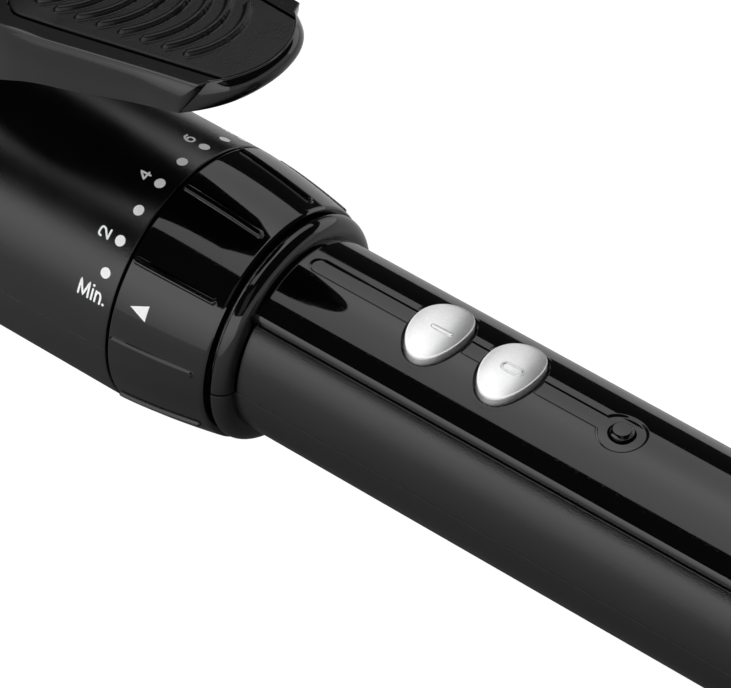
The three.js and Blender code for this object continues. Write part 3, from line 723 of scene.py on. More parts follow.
def pointer():
    """The dial's printed triangle, its apex towards the scale."""
    apex, base = 6.05, 9.05
    half_angle = 3.55
    middle = 63.8
    radius = 21.8
    sheet = Sheet()
    rows = []
    for t in spread(0, 1, 6):
        half = math.radians(half_angle) * radius * t
        rows.append([(lerp(apex, base, t), u * half) for u in spread(-1, 1, 6)])
    sheet.rows(rows)

    def placed(lift):
        return lambda x, arc, h: at(x, dial_radius(x) + lift, middle + math.degrees(arc / radius))

    piece("dial_pointer", "dial", INK, [sheet.solid(placed(INK_TOP), placed(INK_BASE))])


# ---------------------------------------------------------------- handle shells
def collar_profile():
    """The collar's rounded outside, from its front face down to the handle."""
    start = COLLAR_FRONT + 0.5
    rise = COLLAR_RADIUS - HANDLE_RADIUS
    points = [(COLLAR_FRONT, 18.3), (COLLAR_FRONT + 0.03, 18.7), (COLLAR_FRONT + 0.12, 18.95),
              (COLLAR_FRONT + 0.28, 19.12)]
    for angle in spread(0, math.pi / 2, 14):
        x = lerp(start, COLLAR_REAR, math.sin(angle) ** 1.1)
        points.append((x, HANDLE_RADIUS + rise * math.cos(angle)))
    return points


def shell_profile(outer, front, drop):
    """Closes a handle shell's outline: its outside, the rear end and the bore."""
    rear = [(HANDLE_REST_X, HANDLE_RADIUS, 8), (144, 15.5, 2), (HANDLE_REAR, 13.5, 1.2),
            (HANDLE_REAR, 9, 0.3), (142.8, 9), (142.8, 12), (HANDLE_REST_X, HANDLE_BORE)]
    tail = rounded([outer[-1], *rear, (front, HANDLE_BORE)])
    middle_of_wall = 14.5
    return outer + [(x, r - drop if r > middle_of_wall else r) for x, r in tail[1:]]


def edge_drop(psi, start, stop, radius=0.09):
    """How far a surface falls away beside a parting line, as a rounded edge."""
    edge = math.radians(min(abs(psi - start), abs(psi - stop))) * HANDLE_RADIUS
    if edge >= radius:
        return 0
    return radius - math.sqrt(radius ** 2 - (radius - edge) ** 2)


def with_edges(start, stop, step=2.0):
    """Angles from start to stop, closer together at both ends."""
    near = [0, 0.05, 0.12, 0.2, 0.32, 0.8]
    inner = spread(start + 1.4, stop - 1.4, max(2, round((stop - start) / step)))
    return [start + n for n in near] + inner + [stop - n for n in reversed(near)]


def handle_lower():
    start, stop = 90.1, 269.9

    def profile(psi):
        drop = edge_drop(psi, start, stop)
        return shell_profile([(x, r - drop) for x, r in collar_profile()], COLLAR_FRONT, drop)

    shapes = [revolve(profile, with_edges(start, stop))]
    item = piece("handle_lower", "root", SATIN, shapes, ["handle_shell_lower"])
    screw_hole = [(-20, 0), (-20, 3.1), (-16.1, 2.9), (-12.6, 2.7), (-12.6, 0)]
    drill(item, [turned(screw_hole, upright(x)) for x in HANDLE_SCREWS_X])


def drill(item, cutters):
    """Cuts closed shapes out of an object."""
    for k, (points, faces) in enumerate(cutters):
        mesh = bpy.data.meshes.new("cutter")
        mesh.from_pydata([TO_ROW @ p for p in points], [], faces)
        shape = bmesh.new()
        shape.from_mesh(mesh)
        bmesh.ops.remove_doubles(shape, verts=shape.verts, dist=1e-7)
        bmesh.ops.recalc_face_normals(shape, faces=shape.faces)
        for face in shape.faces:
            face.smooth = True
        shape.to_mesh(mesh)
        shape.free()
        tool = add_object("cutter", mesh)
        cut = item.modifiers.new(f"cut_{k}", "BOOLEAN")
        cut.operation = "DIFFERENCE"
        cut.solver = "EXACT"
        cut.object = tool
        bpy.context.view_layer.update()
        evaluated = item.evaluated_get(bpy.context.evaluated_depsgraph_get())
        done = bpy.data.meshes.new_from_object(evaluated)
        item.modifiers.clear()
        item.data = done
        bpy.data.objects.remove(tool)


def handle_upper():
    """The upper shell, with the shallow pocket that the gloss cover lies in."""
    front = COLLAR_REAR + GAP
    pocket_angle = COVER_HALF_ANGLE + 1.5
    pocket_rear = COVER_REAR + GAP
    pocket_floor = 14.9
    pocket_edge = 0.12
    roll_off = 0.2
    roll_off_width = 3.2
    start, stop = -89.9, 89.9

    def profile(psi, in_pocket):
        drop = edge_drop(psi, start, stop)
        level = pocket_floor
        if not in_pocket:
            beside = math.radians(abs(psi) - pocket_angle) * HANDLE_RADIUS
            level = HANDLE_RADIUS - drop - edge_drop(abs(psi), pocket_angle, math.inf, pocket_edge)
            level -= roll_off * max(0, 1 - beside / roll_off_width) ** 2
        outer = [(front, level), (pocket_rear, level), (pocket_rear, HANDLE_RADIUS - drop)]
        return shell_profile(outer, front, drop)

    parts = [(with_edges(start, -pocket_angle), False), (spread(-pocket_angle, pocket_angle, 46), True),
             (with_edges(pocket_angle, stop), False)]
    loops = []
    for psis, in_pocket in parts:
        loops += [[at(x, r, psi) for x, r in profile(psi, in_pocket)] for psi in psis]
    piece("handle_upper", "root", SATIN, [skin(loops)], ["handle_shell_upper"])


# ---------------------------------------------------------------- gloss cover
def outside_button(x, y):
    """How far a point lies outside the nearest button's outline, about, in millimetres."""
    nearest = math.inf
    for middle in (BUTTON_ON_X, BUTTON_OFF_X):
        size = math.hypot((x - middle) / BUTTON_HALF_LENGTH, y / BUTTON_HALF_WIDTH)
        if size > 0.5:
            nearest = min(nearest, math.hypot(x - middle, y) * (1 - 1 / size))
    return nearest


def cover_height(x, y):
    """The gloss cover's relief: channel and lamp ring sunk in, a raised lip round each button."""
    groove_wall = 0.48
    clear_of_hole, fade = 0.05, 0.2
    lip_height, lip_rise, lip_end, lip_fall = 0.02, 0.22, 0.85, 0.35
    hole_round = 0.16
    ring = math.hypot(x - LAMP_X, y) - LAMP_RING
    channel = math.hypot(min(0, x - CHANNEL_START), y) - CHANNEL_HALF_WIDTH
    groove = ring if x > LAMP_X else min(channel, ring)
    margin = outside_button(x, y) - GAP
    sunk = CHANNEL_DEPTH * smooth(0.5 - groove / groove_wall) * smooth((margin - clear_of_hole) / fade)
    lip = lip_height * smooth(margin / lip_rise) * smooth((lip_end - margin) / lip_fall)
    hole_edge = hole_round * (1 - smooth(margin / hole_round))
    drop = 0
    for edge in (math.radians(COVER_HALF_ANGLE) * HANDLE_RADIUS - abs(y), COVER_REAR - x):
        if edge < COVER_EDGE:
            drop += COVER_EDGE_RADIUS - math.sqrt(COVER_EDGE_RADIUS ** 2 - (COVER_EDGE - edge) ** 2)
    return lip - hole_edge - sunk - drop


def hole_patch(sheet, x0, x1, middle, ys, half_length, half_width, margins):
    """Fills the strip from x0 to x1 with rings round an oval opening.

    Beside the strip's midline, up to level, the rings' points keep to the strip's own lines."""
    count = 64
    level = 1.9
    is_small = level > 0.7 * half_width
    corner = (0.93 if is_small else 0.74) * half_width
    edge = ys[-1]
    border = [(x0, y, -1, y) for y in ys]
    border += [(lerp(x0, x1, i / count), edge, 0, 2 * i / count - 1) for i in range(1, count)]
    border += [(x1, y, 1, y) for y in reversed(ys)]
    border += [(lerp(x1, x0, i / count), -edge, 0, 1 - 2 * i / count) for i in range(1, count)]

    def on_ring(y, end, t, margin):
        length, width = half_length + margin, half_width + margin
        if end:
            limit = corner * width / half_width
            if abs(t) > level:
                t = math.copysign(lerp(level, limit, (abs(t) - level) / (edge - level)), t)
            return middle + end * length * math.sqrt(1 - (t / width) ** 2), t
        along = t * length * math.sqrt(1 - (corner / half_width) ** 2)
        return middle + along, math.copysign(width * math.sqrt(1 - (along / length) ** 2), y)

    rings = [[on_ring(*place[1:], margin) for place in border] for margin in margins]
    outer = [place[:2] for place in border]
    last = rings[-1]
    for share in spread(0.07, 0.93, 11):
        rings.append([tuple(Vector(a).lerp(Vector(b), share)) for a, b in zip(last, outer)])
    rings.append(outer)
    sheet.rows(rings, True)


def cover_strip():
    """The gloss strip over the handle, laid out flat with finer rows where its relief is."""
    half = math.radians(COVER_HALF_ANGLE) * HANDLE_RADIUS
    side = spread(0, 1.12, 8) + spread(1.2, 1.8, 13) + spread(1.9, 4.6, 26) + spread(4.9, PATCH_EDGE, 16)
    inner = [-y for y in reversed(side[1:])] + side
    border = [PATCH_EDGE] + [half - e for e in spread(1.4, 0, 16)]
    sheet = Sheet()

    def grid(xs, ys):
        sheet.rows([[(x, y) for y in ys] for x in xs])

    rim = LAMP_RADIUS + 0.2
    step = LAMP_RING - rim
    button_hole = (BUTTON_HALF_LENGTH + GAP, BUTTON_HALF_WIDTH + GAP,
                   [0, 0.03, 0.07, 0.11, 0.16, 0.22, 0.3, 0.4, 0.5, 0.6, 0.7, 0.8, 0.9, 1.05])
    lamp_hole = (rim, rim, [0, 0.04, 0.1, 0.3, 0.7, 1.1, *spread(step - 0.3, step + 0.3, 14),
                            step + 0.4, step + 0.8])
    between = (BUTTON_ON_X + BUTTON_OFF_X) / 2
    holes = [(BUTTON_ON_X - 6.6, between, BUTTON_ON_X, button_hole),
             (between, BUTTON_OFF_X + 7, BUTTON_OFF_X, button_hole),
             (LAMP_X - 6.2, LAMP_X + 6.2, LAMP_X, lamp_hole)]
    first = COLLAR_REAR - 0.2
    lengthwise = [first, first + 0.2] + spread(first + 0.5, 25.2, 4) + spread(25.3, 27.6, 28)
    lengthwise += spread(28.5, holes[0][0], 16)
    grid(lengthwise, inner)
    for x0, x1, middle, (half_length, half_width, margins) in holes:
        if x0 > lengthwise[-1]:
            gap = spread(lengthwise[-1], x0, 6)
            grid(gap, inner)
            lengthwise += gap[1:]
        hole_patch(sheet, x0, x1, middle, inner, half_length, half_width, margins)
        lengthwise += spread(x0, x1, 40)[1:]
    behind = spread(lengthwise[-1], COVER_REAR - 1.5, 40)
    behind += [COVER_REAR - e for e in (0.97, 0.85, 0.7, 0.52, 0.36, 0.24, 0.14, 0.07, 0.02, 0)]
    grid(behind, inner)
    lengthwise += behind[1:]
    grid(lengthwise, border)
    grid(lengthwise, [-y for y in border])

    def placed(radius_at):
        return lambda x, y, h: at(x, radius_at(x, y), math.degrees(y / HANDLE_RADIUS))

    return sheet.solid(placed(lambda x, y: HANDLE_RADIUS + cover_height(x, y)),
                       placed(lambda x, y: COVER_BORE))


def cover():
    """The gloss half collar and, in one piece with it, the strip over the handle."""
    start, stop = -89.6, 89.6
    parting_edge = 0.35

    def profile(psi):
        drop = edge_drop(psi, start, stop, parting_edge)
        outer = [(x, r - drop) for x, r in collar_profile()]
        return outer + [(COLLAR_REAR, COVER_BORE), (COLLAR_FRONT, COVER_BORE)]

    shapes = [revolve(profile, with_edges(start, stop)), cover_strip()]
    piece("gloss_cover", "root", GLOSS, shapes, ["handle_top_cover"])


# ---------------------------------------------------------------- buttons and lamp
def button_outline(share, inward=0.0):
    return [(share * (BUTTON_HALF_LENGTH - inward) * c, share * (BUTTON_HALF_WIDTH - inward) * s)
            for c, s in circle(96)]


def crown(x, y):
    """The height of a button's face: it dips along the handle and crowns across it."""
    along = x / BUTTON_HALF_LENGTH
    across = y / BUTTON_HALF_WIDTH
    return BUTTON_MIDDLE + BUTTON_RISE * along ** 2 - BUTTON_FALL * across ** 2


def button(name, body, middle, mark):
    bevel = 0.2
    rings = [(button_outline(share), 0) for share in (0.0, *spread(0.03, 0.9, 24))]
    for angle in spread(0, math.pi / 2, 6):
        inward = bevel * (1 - math.sin(angle)) + 0.1
        rings.append((button_outline(1, inward), bevel * (1 - math.cos(angle))))
    rings.append((button_outline(1, 0.04), 0.9))
    loops = [[Vector((middle + x, y, crown(x, y) - drop)) for x, y in ring] for ring, drop in rings]
    loops.append([Vector((middle + x, y, BUTTON_FOOT)) for x, y in button_outline(1)])
    stem = turned(rounded([(11.2, 0), (11.2, 2, 0.3), (14, 2), (14, 0)]), upright(middle))
    piece(name, body, PEARL, [skin(loops), stem, raised(middle, *mark)], [name], 50)


def raised(middle, shift, half_straight, section):
    """A raised mark of stadium-shaped loops on a button's face, each (radius, height)."""
    sheet = Sheet()
    rows = []
    for radius, height in section:
        rows.append([(shift + math.copysign(half_straight, c) + radius * c, radius * s, height)
                     for c, s in circle(32, 0.5)])
    sheet.rows(rows, True)
    return sheet.solid(lambda u, v, h: Vector((middle + u, v, crown(u, v) + h)),
                       lambda u, v, h: Vector((middle + u, v, crown(u, v) - 0.15)))


def lamp():
    rim = LAMP_RADIUS - 0.1
    profile = rounded([(10.2, 0), (10.2, 1.6), (15.2, 1.6), (15.2, rim), (16.5, rim, 0.3),
                       (17.0, 1.45, 0.25), (17.1, 0)], 5)
    piece("lamp_lens", "root", LENS, [turned(profile, upright(LAMP_X), 64)], ["lamp_lens"], 50)


# ---------------------------------------------------------------- cord gland
def gland():
    """The cord's swivelling sleeve, with four grooves round it."""
    grooves, first_x, pitch = 4, 147.6, 2.4
    first_radius, taper = 8.55, 0.35
    outside = [(122, 3.2), (122, 4.5, 0.3), (135, 4.5), (135, 6.6), (138.9, 6.6), (138.9, 11.4, 0.3),
               (142.4, 11.4, 0.3), (142.4, 8.6)]
    for k in range(grooves):
        x = first_x + pitch * k
        radius = first_radius - taper * k
        outside += [(x, radius, 0.3), (x + 0.3, radius - 0.7, 0.2), (x + 0.9, radius - 0.75, 0.2),
                    (x + 1.2, radius - 0.1, 0.3)]
    outside += [(158, 7, 0.7), (158, 4.3, 0.4), (146, 4.3), (146, 3.2)]
    piece("cord_gland", "gland", SATIN, [lathe(rounded(outside, 3), 96)], ["swivel_gland"])


# ---------------------------------------------------------------- clamp
# Heights of the lever's top and underside as (x, height), from its free end to the hinge.
LEVER_TOP = [(20, 53), (0, 51), (-14, 49.6), (-24, 48.6), (-34, 45.4), (-46, 38), (-54, 31.4),
             (-59, 28.2)]
LEVER_UNDER = [(20, 48.2), (17, 47.7), (10.7, 47.1), (5, 45.7), (0, 44.5), (-7, 42.8), (-15.5, 41),
               (-24, 37.4), (-34, 33.6), (-46, 29.2), (-57, 25.7), (-59, 25)]
LEVER_STEPS = 22
PAD_CENTRE = 4.1
PAD_RADIUS = 13.4
PAD_CORNER = 8.45
PAD_REAR = PAD_CENTRE + math.sqrt(PAD_RADIUS ** 2 - PAD_CORNER ** 2)
PAD_FRONT = -20
PAD_FRONT_HALF = 13.45
PAD_FRONT_LENGTH = 7
PAD_RAISE = 0.2


def interpolate(table, x):
    """A smooth value at x from a table of (x, value) with falling x."""
    for i, ((xa, a), (xb, b)) in enumerate(zip(table, table[1:])):
        if x >= xb or i == len(table) - 2:
            before = table[i - 1] if i else (2 * xa - xb, 2 * a - b)
            after = table[i + 2] if i + 2 < len(table) else (2 * xb - xa, 2 * b - a)
            t = min(1, max(0, (x - xa) / (xb - xa)))
            slope_a = (b - before[1]) / (xb - before[0]) * (xb - xa)
            slope_b = (after[1] - a) / (after[0] - xa) * (xb - xa)
            return ((2 * t ** 3 - 3 * t ** 2 + 1) * a + (t ** 3 - 2 * t ** 2 + t) * slope_a
                    + (3 * t ** 2 - 2 * t ** 3) * b + (t ** 3 - t ** 2) * slope_b)


def lever_outlines():
    """Half of the lever's top and bottom outlines, from its free end to the hinge, point for point."""
    top, bottom = [], []
    for share in spread(0, 1, LEVER_STEPS):
        a, b = 0.85 * share, 0.857 * share
        top.append(Vector((PAD_CENTRE + 13.7 * math.cos(a), 13.7 * math.sin(a))))
        bottom.append(Vector((-1.26 + 18.26 * math.cos(b), 18.26 * math.sin(b))))
    top_side = [(12.2, 12.4), (7.1, 13.0), (2.9, 13.6), (-1.3, 14.25), (-5.5, 14.9), (-9.2, 15.5),
                (-14.6, 16.3), (-21, 16.9), (-29, 16.1), (-36, 13.6), (-43, 9.6), (-49, 6.9),
                (-54, 5.7), (-58, 5.5)]
    bottom_side = [(10.45, 13.92), (7, 14.2), (2.9, 14.5), (-1.3, 15.1), (-5.5, 15.75), (-9.2, 16.35),
                   (-14.6, 17.2), (-21, 17.7), (-29, 16.7), (-36, 14), (-43, 9.9), (-49, 7.1),
                   (-54, 5.8), (-58, 5.5)]
    top += [Vector((12.62, 11.9)), Vector((12.47, 12.28))] + curve([*map(Vector, top_side)], 5)
    bottom += [bottom[-1], Vector((10.72, 13.86))] + curve([*map(Vector, bottom_side)], 5)
    return list(zip(top, bottom))


def pad_half_width(x):
    """Half the width of the lever's pad at a place along it."""
    if x >= PAD_REAR:
        return math.sqrt(max(0, PAD_RADIUS ** 2 - (x - PAD_CENTRE) ** 2))
    if x >= PAD_FRONT:
        return lerp(PAD_CORNER, PAD_FRONT_HALF, (PAD_REAR - x) / (PAD_REAR - PAD_FRONT))
    reach = min(1, (PAD_FRONT - x) / PAD_FRONT_LENGTH)
    return PAD_FRONT_HALF * math.sqrt(1 - reach ** 2.2)


def lever_section(top, bottom, is_end):
    """One half-loop of the lever, from the middle of its top round the edge to its underside."""
    edge = 0.2
    pad_clearance, corner_clearance = 0.06, 0.5
    rim, recess = 0.3, 0.7
    rim_edge = 0.22
    z_top = interpolate(LEVER_TOP, top.x)
    z_bottom = interpolate(LEVER_UNDER, bottom.x)
    pad = pad_half_width(top.x)
    groove = 0
    if pad > 0:
        groove = pad + pad_clearance + corner_clearance * smooth((14.9 - top.x) / 0.5)
    groove = min(groove, max(0, top.y - rim))
    sunk = recess if groove > 0.2 else 0
    rest = top.y - rim_edge
    points = []
    for y, drop in ((0, sunk), (0.5 * groove, sunk), (groove, sunk), (groove + 0.03, 0.02),
                    (lerp(groove, rest, 0.5), 0), (lerp(groove, rest, 0.8), 0)):
        points.append(Vector((top.x, min(y, top.y), z_top - drop)))
    outward = Vector((top.x - 3 if is_end else 0, top.y)).normalized()
    for angle in spread(0, math.pi / 2, 3):
        spot = top - outward * edge * (1 - math.sin(angle))
        points.append(Vector((spot.x, max(0, spot.y), z_top - edge * (1 - math.cos(angle)))))
    curl = lerp(4.6, 3.2, smooth((top.x - 2) / 8))
    end_bulge = 0.15 + 1.25 * smooth((top.x - 12.4) / 5)
    for share in (0.05, 0.1, 0.16, 0.24, 0.34, 0.45, 0.56, 0.68, 0.8, 0.9, 0.97):
        if is_end:
            spot = top.lerp(bottom, share) + outward * math.sin(math.pi * share ** 0.85) * end_bulge
        else:
            spot = top.lerp(bottom, 1 - (1 - share) ** curl)
        points.append(Vector((spot.x, max(0, spot.y), lerp(z_top - edge, z_bottom + 0.15, share))))
    for share, inward, rise in ((1, 0.06, 0.05), (1, 0.2, 0), (0.6, 0.2, 0.5), (0.3, 0.2, 0.6),
                                (0, 0.2, 0.6)):
        spot = bottom - outward * inward
        lift = rise * smooth((bottom.y - 3) / 4)
        points.append(Vector((spot.x, max(0, spot.y) * share, z_bottom + lift)))
    return points


def lever():
    """The thumb lever's shell, its two cheeks at the hinge, and the plate that holds the jaw."""
    loops = []
    for k, (top, bottom) in enumerate(lever_outlines()):
        half = lever_section(top, bottom, k <= LEVER_STEPS + 1)
        other = [Vector((q.x, -q.y, q.z)) for q in reversed(half[1:-1])]
        loops.append(half + other)
    cheek = rounded([(-56.4, 29.9, 0.8), (-59, 28.2, 1), (-62, 27.7, 2), (-65.4, 25.5, 2),
                     (-68.4, 20.9, 1), (-68.4, 18.7, 0.3), (-62.6, 18.7, 0.8), (-60.1, 20.8, 1),
                     (-58.4, 23.2, 1), (-57, 25.9, 0.5)])
    bridge = rounded([(-66.4, 18.7, 0.3), (-66.4, 24.2, 0.5), (-67.4, 22.4, 0.5), (-68.4, 20.6, 0.5),
                      (-68.4, 18.7, 0.3)])
    plate = rounded([(-86, 17.78, 0.3), (-86, 20.5, 1.2), (-82, 20.75, 1), (-66.6, 20.75, 0.3),
                     (-66.6, 18.62), (-71.5, 18.62), (-71.6, 17.78)])
    shapes = [skin(loops), prism(cheek, 3.1, 5.6, 0.3), prism(cheek, -5.6, -3.1, 0.3),
              prism(bridge, -3.4, 3.4, 0.1), revolve(lambda psi: plate, spread(-17, 17, 24))]
    piece("thumb_lever", "clamp", GLOSS, shapes, ["thumb_lever"], 32)


def rib_on_pad(x, y):
    """The pad's crescent ridges: rounded ridges along arcs that grow towards the hinge."""
    ribs, first_apex, pitch = 8, 9.3, 3.55
    half_rib, slope, height = 0.7, 0.42, 0.8
    best = 0
    for index in range(ribs):
        apex = first_apex - pitch * index
        radius = 11.5 + 0.25 * index
        half_reach = min(7.1 + 0.4 * index, 9.4)
        centre = apex - radius
        limit = math.asin(half_reach / radius)
        if x > centre and abs(math.atan2(y, x - centre)) <= limit:
            off = abs(math.hypot(x - centre, y) - radius)
        else:
            off = math.hypot(x - centre - radius * math.cos(limit), abs(y) - half_reach)
        best = max(best, smooth((half_rib - off) / slope))
    return height * best


def grip():
    corner = math.asin(PAD_CORNER / PAD_RADIUS)
    xs = [PAD_CENTRE + PAD_RADIUS * math.cos(angle) for angle in spread(0, corner, 16)]
    xs += spread(PAD_REAR - 0.2, PAD_FRONT, 172)
    xs += [PAD_FRONT - PAD_FRONT_LENGTH * math.sin(angle) for angle in spread(0, math.pi / 2, 14)[1:]]
    shares = spread(0.012, 0.97, 80) + [0.98, 0.988, 0.995, 1.0]
    shares = [-s for s in reversed(shares)] + [0.0] + shares
    edge_radius = 0.2
    sheet = Sheet()
    sheet.rows([[(x, pad_half_width(x) * s) for s in shares] for x in xs])

    def top(x, y, h):
        from_end = PAD_CENTRE + PAD_RADIUS - math.hypot(max(0, x - PAD_CENTRE), y)
        edge = min(pad_half_width(x) - abs(y), from_end)
        drop = edge_radius - math.sqrt(max(0, edge_radius ** 2 - max(0, edge_radius - edge) ** 2))
        return Vector((x, y, interpolate(LEVER_TOP, x) + PAD_RAISE + rib_on_pad(x, y) - drop))

    solid = sheet.solid(top, lambda x, y, h: Vector((x, y, interpolate(LEVER_TOP, x) - 1.2)))
    piece("lever_grip", "clamp", PAD, [solid], ["lever_grip"], 60)


def jaw():
    """The curved clamp blade: narrow at the lever, full width along the barrel, a rounded tip."""
    rear, shoulder, tip_start, tip_length = -71.4, -84, -164, 12
    half_rear, half_full = 9, 15

    def half_width(x):
        if x > shoulder:
            return lerp(half_rear, half_full, smooth((rear - x) / (rear - shoulder)))
        if x > tip_start:
            return half_full
        return half_full * math.sqrt(max(0, 1 - ((tip_start - x) / tip_length) ** 2.4))

    xs = spread(rear, shoulder, 16) + spread(shoulder - 1, tip_start + 1, 40)
    xs += [tip_start - tip_length * math.sin(angle) for angle in spread(0, math.pi / 2, 20)]
    shares = [math.sin(math.pi / 2 * s) for s in spread(-1, 1, 44)]
    sheet = Sheet()
    sheet.rows([[(x, half_width(x) * s) for s in shares] for x in xs])

    def surface(radius, side):
        def placed(x, y, h):
            edge = min(half_width(x) - abs(y), x - tip_start + tip_length)
            turn = 0.35 * (1 - smooth(edge / 0.5)) * side
            psi = math.degrees(math.asin(min(0.95, abs(y) / JAW_OUTER)))
            return at(x, radius - turn, -math.copysign(psi, y))
        return placed

    solid = sheet.solid(surface(JAW_OUTER, 1), surface(JAW_INNER, -1))
    piece("clamp_jaw", "clamp", COATING, [solid], ["clamp_jaw"], 50)


def rivets():
    head = rounded([(20.7, 0), (20.7, 2.25, 0.1), (21.2, 2.25, 0.2), (21.8, 1.9, 0.6),
                    (22.15, 0.9, 0.5), (22.15, 0)])
    shank = [(16.7, 0), (16.7, 1.1), (20.9, 1.1), (20.9, 0)]
    for name, x in RIVETS_X.items():
        piece(name, "clamp", STEEL, [turned(head, upright(x)), turned(shank, upright(x))], [name])


def hinge():
    """The bracket's band over the barrel with its two ears, and the pin with a head at each end."""
    band = rounded([(-70.4, 16.4), (-70.4, 18.15, 0.35), (-58.7, 18.15, 0.35), (-58.7, 16.4)])
    ear_radius = 3.4
    ear_foot = 16.2
    ear = [(HINGE_X + ear_radius, ear_foot)]
    for angle in spread(0, math.pi, 16):
        ear.append((HINGE_X + ear_radius * math.cos(angle), HINGE_Z + ear_radius * math.sin(angle)))
    ear.append((HINGE_X - ear_radius, ear_foot))
    shapes = [revolve(lambda psi: band, spread(-50, 50, 64)), prism(ear, 6.05, 7.95, 0.3),
              prism(ear, -7.95, -6.05, 0.3)]
    piece("hinge_bracket", "root", STEEL, shapes, ["hinge_bracket"])
    place = sideways(HINGE_X, HINGE_Z)
    pin = [(-8.4, 0), (-8.4, 1.5), (8.4, 1.5), (8.4, 0)]
    head = rounded([(8.2, 0), (8.2, 2.35, 0.15), (8.8, 2.35, 0.25), (9.25, 1.7, 0.4), (9.3, 0)])
    piece("hinge_pin", "root", STEEL, [turned(pin, place), *turned_ends(head, place)], ["hinge_pin"])


def spring():
    """A torsion spring wound round the hinge pin, from its leg on the bracket."""
    points = [Vector((-65, -2.3, 19.1)), Vector((-64.6, -2.3, 21.5))]
    per_turn = 8
    last = 4 * per_turn + 3
    coil_radius = 2.5
    start, length = -2.2, 4.4
    for i in range(last + 1):
        angle = math.radians(190) - 2 * math.pi * i / per_turn
        points.append(Vector((HINGE_X + coil_radius * math.cos(angle), start + length * i / last,
                              HINGE_Z + coil_radius * math.sin(angle))))
    piece("clamp_spring", "root", STEEL, [tube(curve(points, 6), 0.4, 12)], ["clamp_spring"])


# ---------------------------------------------------------------- rest
def stand():
    """The fold-out rest: a bent steel strip that widens to its foot, and the pin it turns on."""
    def floor_at(x):
        return FOOT_Z + FOOT_SLOPE * (x - FOOT_X)

    bends = [(STAND_X, STAND_Z), (-51.4, STAND_Z - 2.2), (-54, -30.6), (-56.4, floor_at(-57) + 2.6),
             (-58.4, floor_at(-58) + 0.95), (-61, floor_at(-61) + 0.85), (-63.9, floor_at(-64) + 0.85)]
    line = curve([Vector(p) for p in bends])
    first = 4
    thick = 0.82
    loops = []
    for i in range(first, len(line)):
        along = direction(line, i)
        side = Vector((-along.y, along.x))
        from_end = len(line) - 1 - i
        width = lerp(8.5, 19.8, smooth((-27.5 - line[i].y) / 8.5)) - 2.2 * (1 - smooth(from_end / 5)) ** 2
        section = [(width, thick, 0.5), (-width, thick, 0.5), (-width, -thick, 0.5), (width, -thick, 0.5)]
        spots = [(a, line[i] + side * b) for a, b in rounded(section, 3)]
        loops.append([Vector((spot.x, a, spot.y)) for a, spot in spots])
    place = sideways(STAND_X, STAND_Z)
    sleeve = rounded([(-8.5, 1.4), (-8.5, 2.55, 0.3), (-5.5, 2.55, 0.3), (-5.5, 1.4)])
    piece("rest_stand", "stand", STEEL, [skin(loops), *turned_ends(sleeve, place)], ["rest_stand"])
    pin = [(-9, 0), (-9, 1.25), (9, 1.25), (9, 0)]
    head = rounded([(8.85, 0), (8.85, 1.95, 0.1), (9.4, 1.95, 0.3), (9.7, 1.2, 0.3), (9.7, 0)])
    piece("stand_pin", "root", STEEL, [turned(pin, place), *turned_ends(head, place)], ["stand_pin"])


def recess_depth(share, c, s):
    """How deep the cross in a screw's head is, at a share of its radius and a direction."""
    full_depth = 0.55
    if share < 0.2:
        return full_depth
    if share >= 0.62:
        return 0
    return full_depth * smooth((math.sqrt(abs(c * c - s * s)) - 0.55) / 0.2)


def screws():
    """Pan-head screws under the neck and the handle, each with a cross recess."""
    shank = 1.15
    head_edge, head_back = 0.55, 0.9
    for name, (x, z, radius) in SCREWS.items():
        tip = span(name)[1].z
        loops = []
        for share in (0.0, 0.18, 0.34, 0.5, 0.62, 0.8, 1.0):
            rise = 0.28 * (1 - share ** 2) if share < 1 else -0.1
            r = radius * share
            loops.append([Vector((x + r * c, r * s, z - rise + recess_depth(share, c, s) + 0.3))
                          for c, s in circle(64)])
        for h, r in ((z + head_edge, radius), (z + head_back, radius), (z + head_back, shank),
                     (tip - 0.8, shank), (tip, 0.3)):
            loops.append([Vector((x + r * c, r * s, h)) for c, s in circle(64)])
        piece(name, "root", STEEL, [skin(loops)], [name])


# ---------------------------------------------------------------- stage, light and camera
def ramp_of(tree, value, table):
    """A value read off a table of (place, level), with straight lines between."""
    low, high = table[0][0], table[-1][0]
    place = tree.nodes.new("ShaderNodeMapRange")
    place.inputs["From Min"].default_value = low
    place.inputs["From Max"].default_value = high
    tree.links.new(value, place.inputs["Value"])
    ramp = tree.nodes.new("ShaderNodeValToRGB")
    stops = ramp.color_ramp.elements
    while len(stops) < len(table):
        stops.new(0.5)
    top = max(level for _, level in table)
    for k, (at_place, level) in enumerate(table):
        stops[k].position = (at_place - low) / (high - low)
        stops[k].color = (level / top, level / top, level / top, 1)
    tree.links.new(place.outputs["Result"], ramp.inputs["Fac"])
    scaled = tree.nodes.new("ShaderNodeMath")
    scaled.operation = "MULTIPLY"
    scaled.inputs[1].default_value = top
    tree.links.new(ramp.outputs["Color"], scaled.inputs[0])
    return scaled.outputs[0]


def plane(name, corners, material):
    """A stage surface through four points, in metres in the axis frame."""
    mesh = bpy.data.meshes.new(name)
    mesh.from_pydata([Vector(c) for c in corners], [], [(0, 1, 2, 3)])
    mesh.materials.append(material)
    item = add_object(name, mesh)
    item.matrix_world = TURN.to_4x4()
    item.matrix_world.translation = ORIGIN
    return item


def stage_material(name):
    """An empty node tree with the place on the surface, in metres, and the output."""
    material = bpy.data.materials.new(name)
    material.use_nodes = True
    tree = material.node_tree
    tree.nodes.clear()
    place = tree.nodes.new("ShaderNodeSeparateXYZ")
    tree.links.new(tree.nodes.new("ShaderNodeTexCoord").outputs["Object"], place.inputs[0])
    return material, tree, place, tree.nodes.new("ShaderNodeOutputMaterial")


